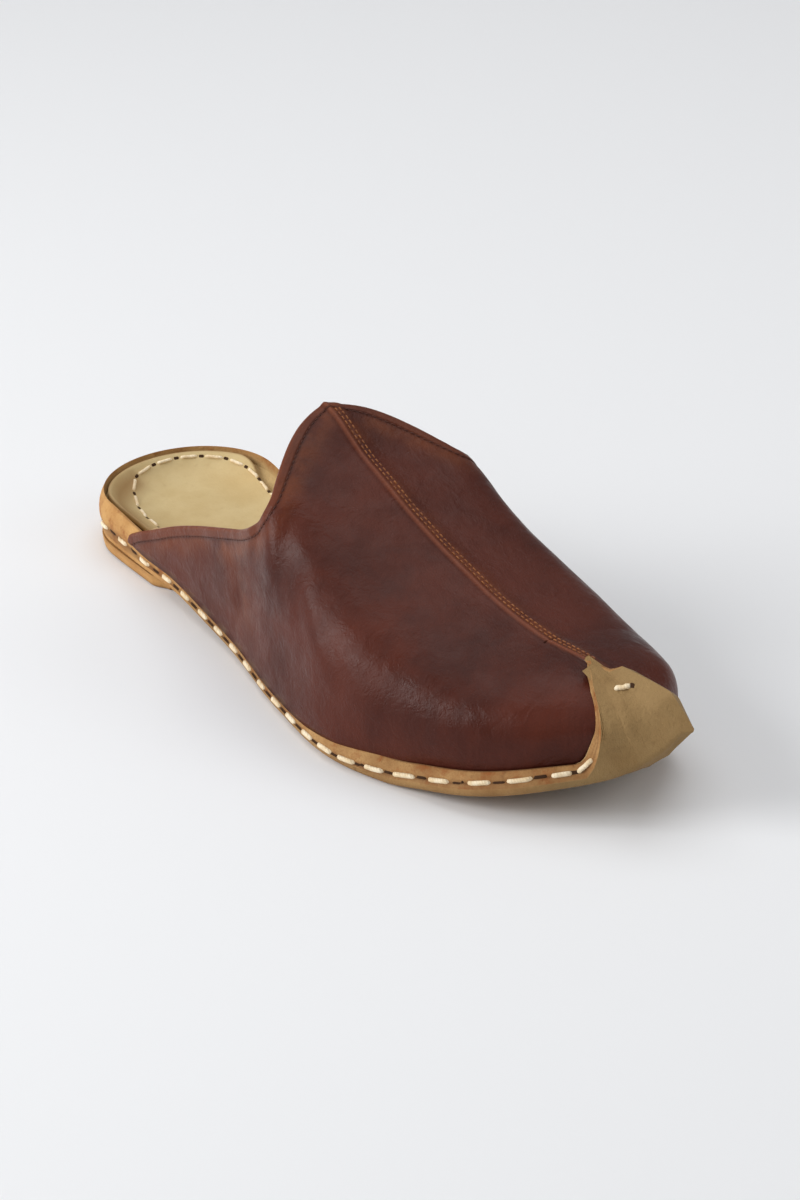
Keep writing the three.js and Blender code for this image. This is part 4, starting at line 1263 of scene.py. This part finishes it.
INSOLE_RINGS = insole_mesh()
points, faces = layered(INSOLE_RINGS)
ring_index = {tuple(np.round(p, 3)): k for k, ring in enumerate(INSOLE_RINGS) for p in ring}
ring_of = np.array([ring_index[tuple(np.round(p, 3))] for p in points])
insole_shade = profile(INSOLE_EDGE_SHADE, "tint", ring_of)
# Painted shade: a brown band along the outer side of the heel's cup, between the rim and the stitches.
CUP_SHADE = {"inset": 7.6, "ribs": range(14, 65, 10), "tint": 0.75, "reach": 3.0}
cup_shade_line = catmull([RIBS[i].at(CUP_SHADE["inset"], 0)[:2] for i in CUP_SHADE["ribs"]], 6)
cup_shade = np.exp(-(gap_to(points[:, :2], cup_shade_line) / CUP_SHADE["reach"]) ** 2)
insole_shade = np.maximum(insole_shade, CUP_SHADE["tint"] * cup_shade * (ring_of > 6))
mesh_object("insole_dressed", points, faces, INSOLE_LOOK, "insole",
            attributes={"dark_lines_and_painted_shade": insole_shade})
INSOLE_TREE = tree_of(points, faces)


HEEL_SHARP = math.radians(50)
HEEL_MIDDLE = np.array((HEEL_DEPTH + 4, 0.0))
BREAST_STEPS = 30
BREAST_CORNER = 9.0
BREAST_CORNER_IN = 0.10
HEEL_LIFT_SIDE = rows(
    "inset up",
    (99, 0), (1.5, 0), (0.75, 0.18), (0.25, 0.7), (0.0, 1.6), (-0.15, 2.6),
    (-0.3, HEEL_LIFT - 0.4), (-0.2, HEEL_LIFT), (99, HEEL_LIFT))


def heel_lift_mesh():
    """The lift's slab: upright sides with softly rounded edges and a straight breast."""
    line = []
    for rib in RIBS[:NOSE]:
        if rib.end[0] < HEEL_LIFT_LENGTH:
            line.append(rib.at(HEEL_LIFT_INSET, 0)[:2])
    outer_end = np.array((HEEL_LIFT_LENGTH, side_at(OUTER_SIDE, HEEL_LIFT_LENGTH) + HEEL_LIFT_INSET))
    inner_end = np.array((HEEL_LIFT_LENGTH, side_at(INNER_SIDE, HEEL_LIFT_LENGTH) - HEEL_LIFT_INSET))
    breast = [lerp(outer_end, inner_end, k / BREAST_STEPS) for k in range(BREAST_STEPS + 1)]
    inner = [rib.at(HEEL_LIFT_INSET, 0)[:2] for rib in RIBS[NOSE + 1:] if rib.end[0] < HEEL_LIFT_LENGTH]
    line = np.array(line + breast + inner)
    corner_share = smoothstep(line[:, 0], HEEL_LIFT_LENGTH - BREAST_CORNER, HEEL_LIFT_LENGTH)
    line[:, 1] *= 1 - BREAST_CORNER_IN * corner_share ** 2
    rings = []
    towards = HEEL_MIDDLE - line
    reach = np.linalg.norm(towards, axis=1, keepdims=True)
    for row in HEEL_LIFT_SIDE:
        plan = line + towards / reach * np.minimum(row["inset"], reach)
        rings.append(np.column_stack([plan, np.full(len(plan), row["up"])]))
    return rings


points, faces = layered(heel_lift_mesh())
# Darker along the lift's bottom and at its top, by height.
HEEL_DARK_BANDS = rows("at tint", (0.0, 0.7), (0.7, 0.35), (1.8, 0.0), (3.6, 0.0), (4.4, 0.35))
heel_dark_bands = profile(HEEL_DARK_BANDS, "tint", points[:, 2])
heel = mesh_object("heel_lift_dressed", points, faces, HEEL_LOOK, "heel_lift",
                   attributes={"dark_lines_and_painted_shade": heel_dark_bands})
heel.data.set_sharp_from_angle(angle=HEEL_SHARP)


# Hand stitches of the rim, the insole and the flap, with a dark slot of painted shade between each pair.
def along_path(line, lengths, where):
    return np.array([np.interp(where, lengths, line[:, k]) for k in range(3)])


THREAD_SIDES = 10
HOLE_SIDES = 8
# Shape of a hand stitch and of the slot after it, by the thread's radius.
STITCH_SINK = 1.7
STITCH_FLAT = 0.8
STITCH_LIFT = 0.42
STITCH_UNEVEN = 0.06
SLOT_RADIUS = 0.95
SLOT_SINK = 0.2
SLOT_FLAT = 0.22
SLOT_LIFT = 0.02


def hand_row(line, centres, tree, visible, radius, threads, hole_shades, slot_length):
    """Stitches of slightly uneven length along a line, with a dark slot of painted shade between each pair.
    """
    lengths = path_lengths(line)
    for number, centre in enumerate(centres):
        seen = visible(centre) if callable(visible) else visible
        half = seen / 2 * (1 + STITCH_UNEVEN * math.sin(2.3 * number))
        start, end = (along_path(line, lengths, centre + s * half) for s in (-1, 1))
        bowed_stitch(threads, tree, start, end, radius, radius * STITCH_SINK, STITCH_FLAT, 11, STITCH_LIFT)
        if number + 1 < len(centres):
            middle = (centre + centres[number + 1]) / 2
            start, end = (along_path(line, lengths, middle + s * slot_length / 2) for s in (-1, 1))
            bowed_stitch(hole_shades, tree, start, end, radius * SLOT_RADIUS, radius * SLOT_SINK, SLOT_FLAT, 7,
                         SLOT_LIFT)


rim_threads, rim_hole_shades = Threads(THREAD_SIDES), Threads(HOLE_SIDES)


def stitch_place(i):
    """Where the row of stitches runs on the outsole's cut edge, at one rib."""
    share = column(STITCH_LINE, "share", RIBS[i].end[0] / LENGTH)
    band = SOLE_GRID[BAND_START:BAND_END, i]
    return [np.interp(share, BAND_STEPS, band[:, axis]) for axis in range(3)]


stitch_ring = np.array([stitch_place(i) for i in range(COUNT)])
RIM_STITCHES_AT = (12.0, 23.5, 37.5, 52.0, 67.0, 80.0, 92.5, 104.0, 116.0, 128.0, 141.0, 153.5, 165.0, 177.0,
                   187.5, 197.5, 208.0, 218.5, 230.5, 243.0, 253.0, 261.0, 265.6)
RIM_PITCH = 12.4
RIM_RADIUS = 0.78
RIM_SLOT = 4.0
RIM_SHOWS = rows(
    "at length",
    (20, 6.0), (45, 5.6), (130, 5.8), (200, 7.0), (240, 8.2), (285, 7.8), (294, 6.2),
    (302, 6.6))
FLAP_FROM_TURN = -13.0
INNER_STITCHES_TO = 0.93


def rim_visible(where):
    """How much of a stitch shows, by its place along the row: less where the leather bulges over it."""
    return float(profile(RIM_SHOWS, "length", where))


turns = np.array([turn_of(rib) for rib in RIBS])
outer_path = stitch_ring[:np.flatnonzero(IN_FAN & (turns > FLAP_FROM_TURN))[0]]
outer_lengths = path_lengths(outer_path)
hand_row(outer_path, [np.interp(x, outer_path[:, 0], outer_lengths) for x in RIM_STITCHES_AT], SOLE_TREE,
         rim_visible, RIM_RADIUS, rim_threads, rim_hole_shades, RIM_SLOT)
inner_path = stitch_ring[[0, *range(COUNT - 1, NOSE, -1)]]
inner_path = inner_path[:np.flatnonzero(inner_path[:, 0] < INNER_STITCHES_TO * LENGTH)[-1]]
inner_total = path_lengths(inner_path)[-1]
count = int(inner_total // RIM_PITCH)
hand_row(inner_path, [inner_total / count * (k + 0.45) for k in range(count)], SOLE_TREE,
         rim_visible, RIM_RADIUS, rim_threads, rim_hole_shades, RIM_SLOT)
mesh_object("rim_stitches", rim_threads.points, rim_threads.faces, WAX_THREAD)
mesh_object("rim_hole_shades", rim_hole_shades.points, rim_hole_shades.faces, HOLE_SHADE_LOOK)

INSOLE_STITCHES_TO = 0.22
# How far in from the outline they run, by rib from the heel back: below zero on the inner side.
INSOLE_STITCH_INSETS = rows(
    "at inset",
    (-70, 9.0), (-58, 8.7), (-47, 7.6), (-37, 6.6), (-27, 5.6), (-13, 5.2), (-4, 5.3),
    (4, 5.8), (12, 6.8), (18, 9.0), (26, 12.2), (38, 14.2), (52, 13.4), (70, 13.0))
INSOLE_PITCH = 8.8
INSOLE_VISIBLE = 6.0
INSOLE_RADIUS = 0.56
INSOLE_SLOT = 1.7


def insole_path():
    outer = [i for i in range(NOSE) if RIBS[i].end[0] < INSOLE_STITCHES_TO * LENGTH]
    inner = [i for i in range(NOSE + 1, COUNT) if RIBS[i].end[0] < INSOLE_STITCHES_TO * LENGTH]
    line = []
    for i in outer[::-1] + inner[::-1]:
        rib = RIBS[i]
        inset = float(profile(INSOLE_STITCH_INSETS, "inset", i if i < NOSE else i - COUNT))
        line.append(rib.at(inset, dish_floor(i, inset) + INSOLE_BED + INSOLE_THICKNESS))
    return np.array(line)


insole_threads, insole_hole_shades = Threads(THREAD_SIDES), Threads(HOLE_SIDES)
path = insole_path()
total = path_lengths(path)[-1]
count = int(total // INSOLE_PITCH)
centres = [(total - count * INSOLE_PITCH) / 2 + INSOLE_PITCH * (k + 0.5) for k in range(count)]
hand_row(path, centres, INSOLE_TREE, INSOLE_VISIBLE, INSOLE_RADIUS, insole_threads, insole_hole_shades, INSOLE_SLOT)
mesh_object("insole_stitches", insole_threads.points, insole_threads.faces, WAX_THREAD)
mesh_object("insole_hole_shades", insole_hole_shades.points, insole_hole_shades.faces, HOLE_SHADE_LOOK)

# The one stitch on the flap and the open hole beside it, the hole a dark strip of painted shade.
FLAP_SINK = 1.2
FLAP_SEWING = rows(
    "name start end radius flat lift sides look slot",
    ("flap_stitch", (263.6, 9.4, 42.0), (266.2, 12.0, 42.5), 0.85, 0.8, 0.5, THREAD_SIDES, WAX_THREAD,
     "waxed_thread"),
    ("flap_hole", (266.0, 12.4, 42.6), (267.6, 13.6, 42.6), 0.75, SLOT_FLAT, SLOT_LIFT, HOLE_SIDES, HOLE_SHADE_LOOK,
     "sole_leather"))
for row in FLAP_SEWING:
    threads = Threads(row["sides"])
    bowed_stitch(threads, SOLE_TREE, row["start"], row["end"], row["radius"], row["radius"] * FLAP_SINK,
                 row["flat"], 9, row["lift"])
    mesh_object(row["name"], threads.points, threads.faces, row["look"])


# The set: floor, camera and soft lights, in metres.
FLOOR_BEFORE = 4.0
FLOOR_BEHIND = 2.2
FLOOR_HALF_WIDTH = 5.0
FLOOR_CURVE = 1.0
FLOOR_CURVE_STEPS = 12
BACKDROP_HEIGHT = 5.0


def backdrop():
    """Plain pale floor that curves up behind the shoe."""
    depth = [(-FLOOR_BEFORE, 0.0), (FLOOR_BEHIND, 0.0)]
    for k in range(1, FLOOR_CURVE_STEPS + 1):
        a = math.pi / 2 * k / FLOOR_CURVE_STEPS
        depth.append((FLOOR_BEHIND + FLOOR_CURVE * math.sin(a), FLOOR_CURVE * (1 - math.cos(a))))
    depth.append((FLOOR_BEHIND + FLOOR_CURVE, BACKDROP_HEIGHT))
    away = np.array((-math.sin(CAMERA_AZ), math.cos(CAMERA_AZ)))
    side = np.array((math.cos(CAMERA_AZ), math.sin(CAMERA_AZ)))
    points, faces = [], []
    for d, z in depth:
        for s in (-FLOOR_HALF_WIDTH, FLOOR_HALF_WIDTH):
            p = away * d + side * s
            points.append((p[0], p[1], z))
    for k in range(len(depth) - 1):
        faces.append((2 * k, 2 * k + 1, 2 * k + 3, 2 * k + 2))
    mesh = bpy.data.meshes.new("floor")
    mesh.from_pydata(points, [], faces)
    mesh.shade_smooth()
    obj = bpy.data.objects.new("floor", mesh)
    bpy.context.scene.collection.objects.link(obj)
    mesh.materials.append(plain("floor_paint", rgb(236, 237, 239), 0.9))


CAMERA_AZ = math.radians(55.012)
CAMERA_EL = math.radians(26.089)
CAMERA_ROLL = math.radians(0.163)
CAMERA_DISTANCE = 1.490223
CAMERA_TARGET = np.array((0.073238, 0.113947, 0.0))
PHOTO_FOCAL = 2551.629
PHOTO_CENTRE = (288.0, 642.0)
PHOTO_SIZE = (800, 1200)
ZOOM = 1.72
SENSOR = 36.0


def place_camera():
    """The photo's camera, turned a little and zoomed so that it frames the one shoe."""
    sin_az, cos_az = math.sin(CAMERA_AZ), math.cos(CAMERA_AZ)
    sin_el, cos_el = math.sin(CAMERA_EL), math.cos(CAMERA_EL)
    back = np.array((sin_az * cos_el, -cos_az * cos_el, sin_el))
    right = np.array((cos_az, sin_az, 0.0))
    up = np.array((-sin_az * sin_el, cos_az * sin_el, cos_el))
    right, up = (right * math.cos(CAMERA_ROLL) + up * math.sin(CAMERA_ROLL),
                 -right * math.sin(CAMERA_ROLL) + up * math.cos(CAMERA_ROLL))
    eye = CAMERA_TARGET + back * CAMERA_DISTANCE
    ahead = unit(-back * PHOTO_FOCAL + right * (PHOTO_CENTRE[0] - PHOTO_SIZE[0] / 2)
                 - up * (PHOTO_CENTRE[1] - PHOTO_SIZE[1] / 2))
    side = unit(right - ahead * (right @ ahead))
    over = np.cross(side, ahead)
    data = bpy.data.cameras.new("camera")
    data.sensor_width = SENSOR
    data.sensor_fit = "AUTO"
    data.lens = PHOTO_FOCAL * ZOOM * SENSOR / PHOTO_SIZE[1]
    data.clip_end = 50
    camera = bpy.data.objects.new("camera", data)
    bpy.context.scene.collection.objects.link(camera)
    camera.matrix_world = Matrix([[side[k], over[k], -ahead[k], eye[k]] for k in range(3)] + [[0, 0, 0, 1]])
    bpy.context.scene.camera = camera


place_camera()
backdrop()


def softbox(name, place, aim, width, height, watts):
    data = bpy.data.lights.new(name, "AREA")
    data.shape = "RECTANGLE"
    data.size, data.size_y = width, height
    data.energy = watts
    obj = bpy.data.objects.new(name, data)
    obj.location = place
    obj.rotation_euler = (Vector(aim) - Vector(place)).to_track_quat("-Z", "Y").to_euler()
    bpy.context.scene.collection.objects.link(obj)


SHOE_MIDDLE = Vector((0.11, 0.0, 0.03))


def around(turn, rise, distance):
    """A place seen from the shoe: turn from the camera's direction to its right, and rise, in degrees."""
    a = CAMERA_AZ + math.radians(turn)
    e = math.radians(rise)
    out = Vector((math.sin(a) * math.cos(e), -math.cos(a) * math.cos(e), math.sin(e)))
    return SHOE_MIDDLE + out * distance


LIGHTS = rows(
    "name turn rise distance width height watts",
    ("top_light", 180, 74, 1.5, 1.6, 1.2, 10), ("left_light", -76, 26, 1.5, 0.9, 1.0, 18),
    ("right_light", 80, 32, 1.8, 1.0, 1.2, 4.5), ("front_light", 10, 42, 2.2, 1.6, 1.2, 4))
WORLD_LIGHT = 0.27

for light in LIGHTS:
    place = around(light["turn"], light["rise"], light["distance"])
    softbox(light["name"], place, SHOE_MIDDLE, light["width"], light["height"], light["watts"])

world = bpy.data.worlds.new("studio")
world.use_nodes = True
world.node_tree.nodes["Background"].inputs["Color"].default_value = (1.0, 1.0, 1.0, 1.0)
world.node_tree.nodes["Background"].inputs["Strength"].default_value = WORLD_LIGHT
bpy.context.scene.world = world
bpy.context.scene.view_settings.view_transform = "Standard"
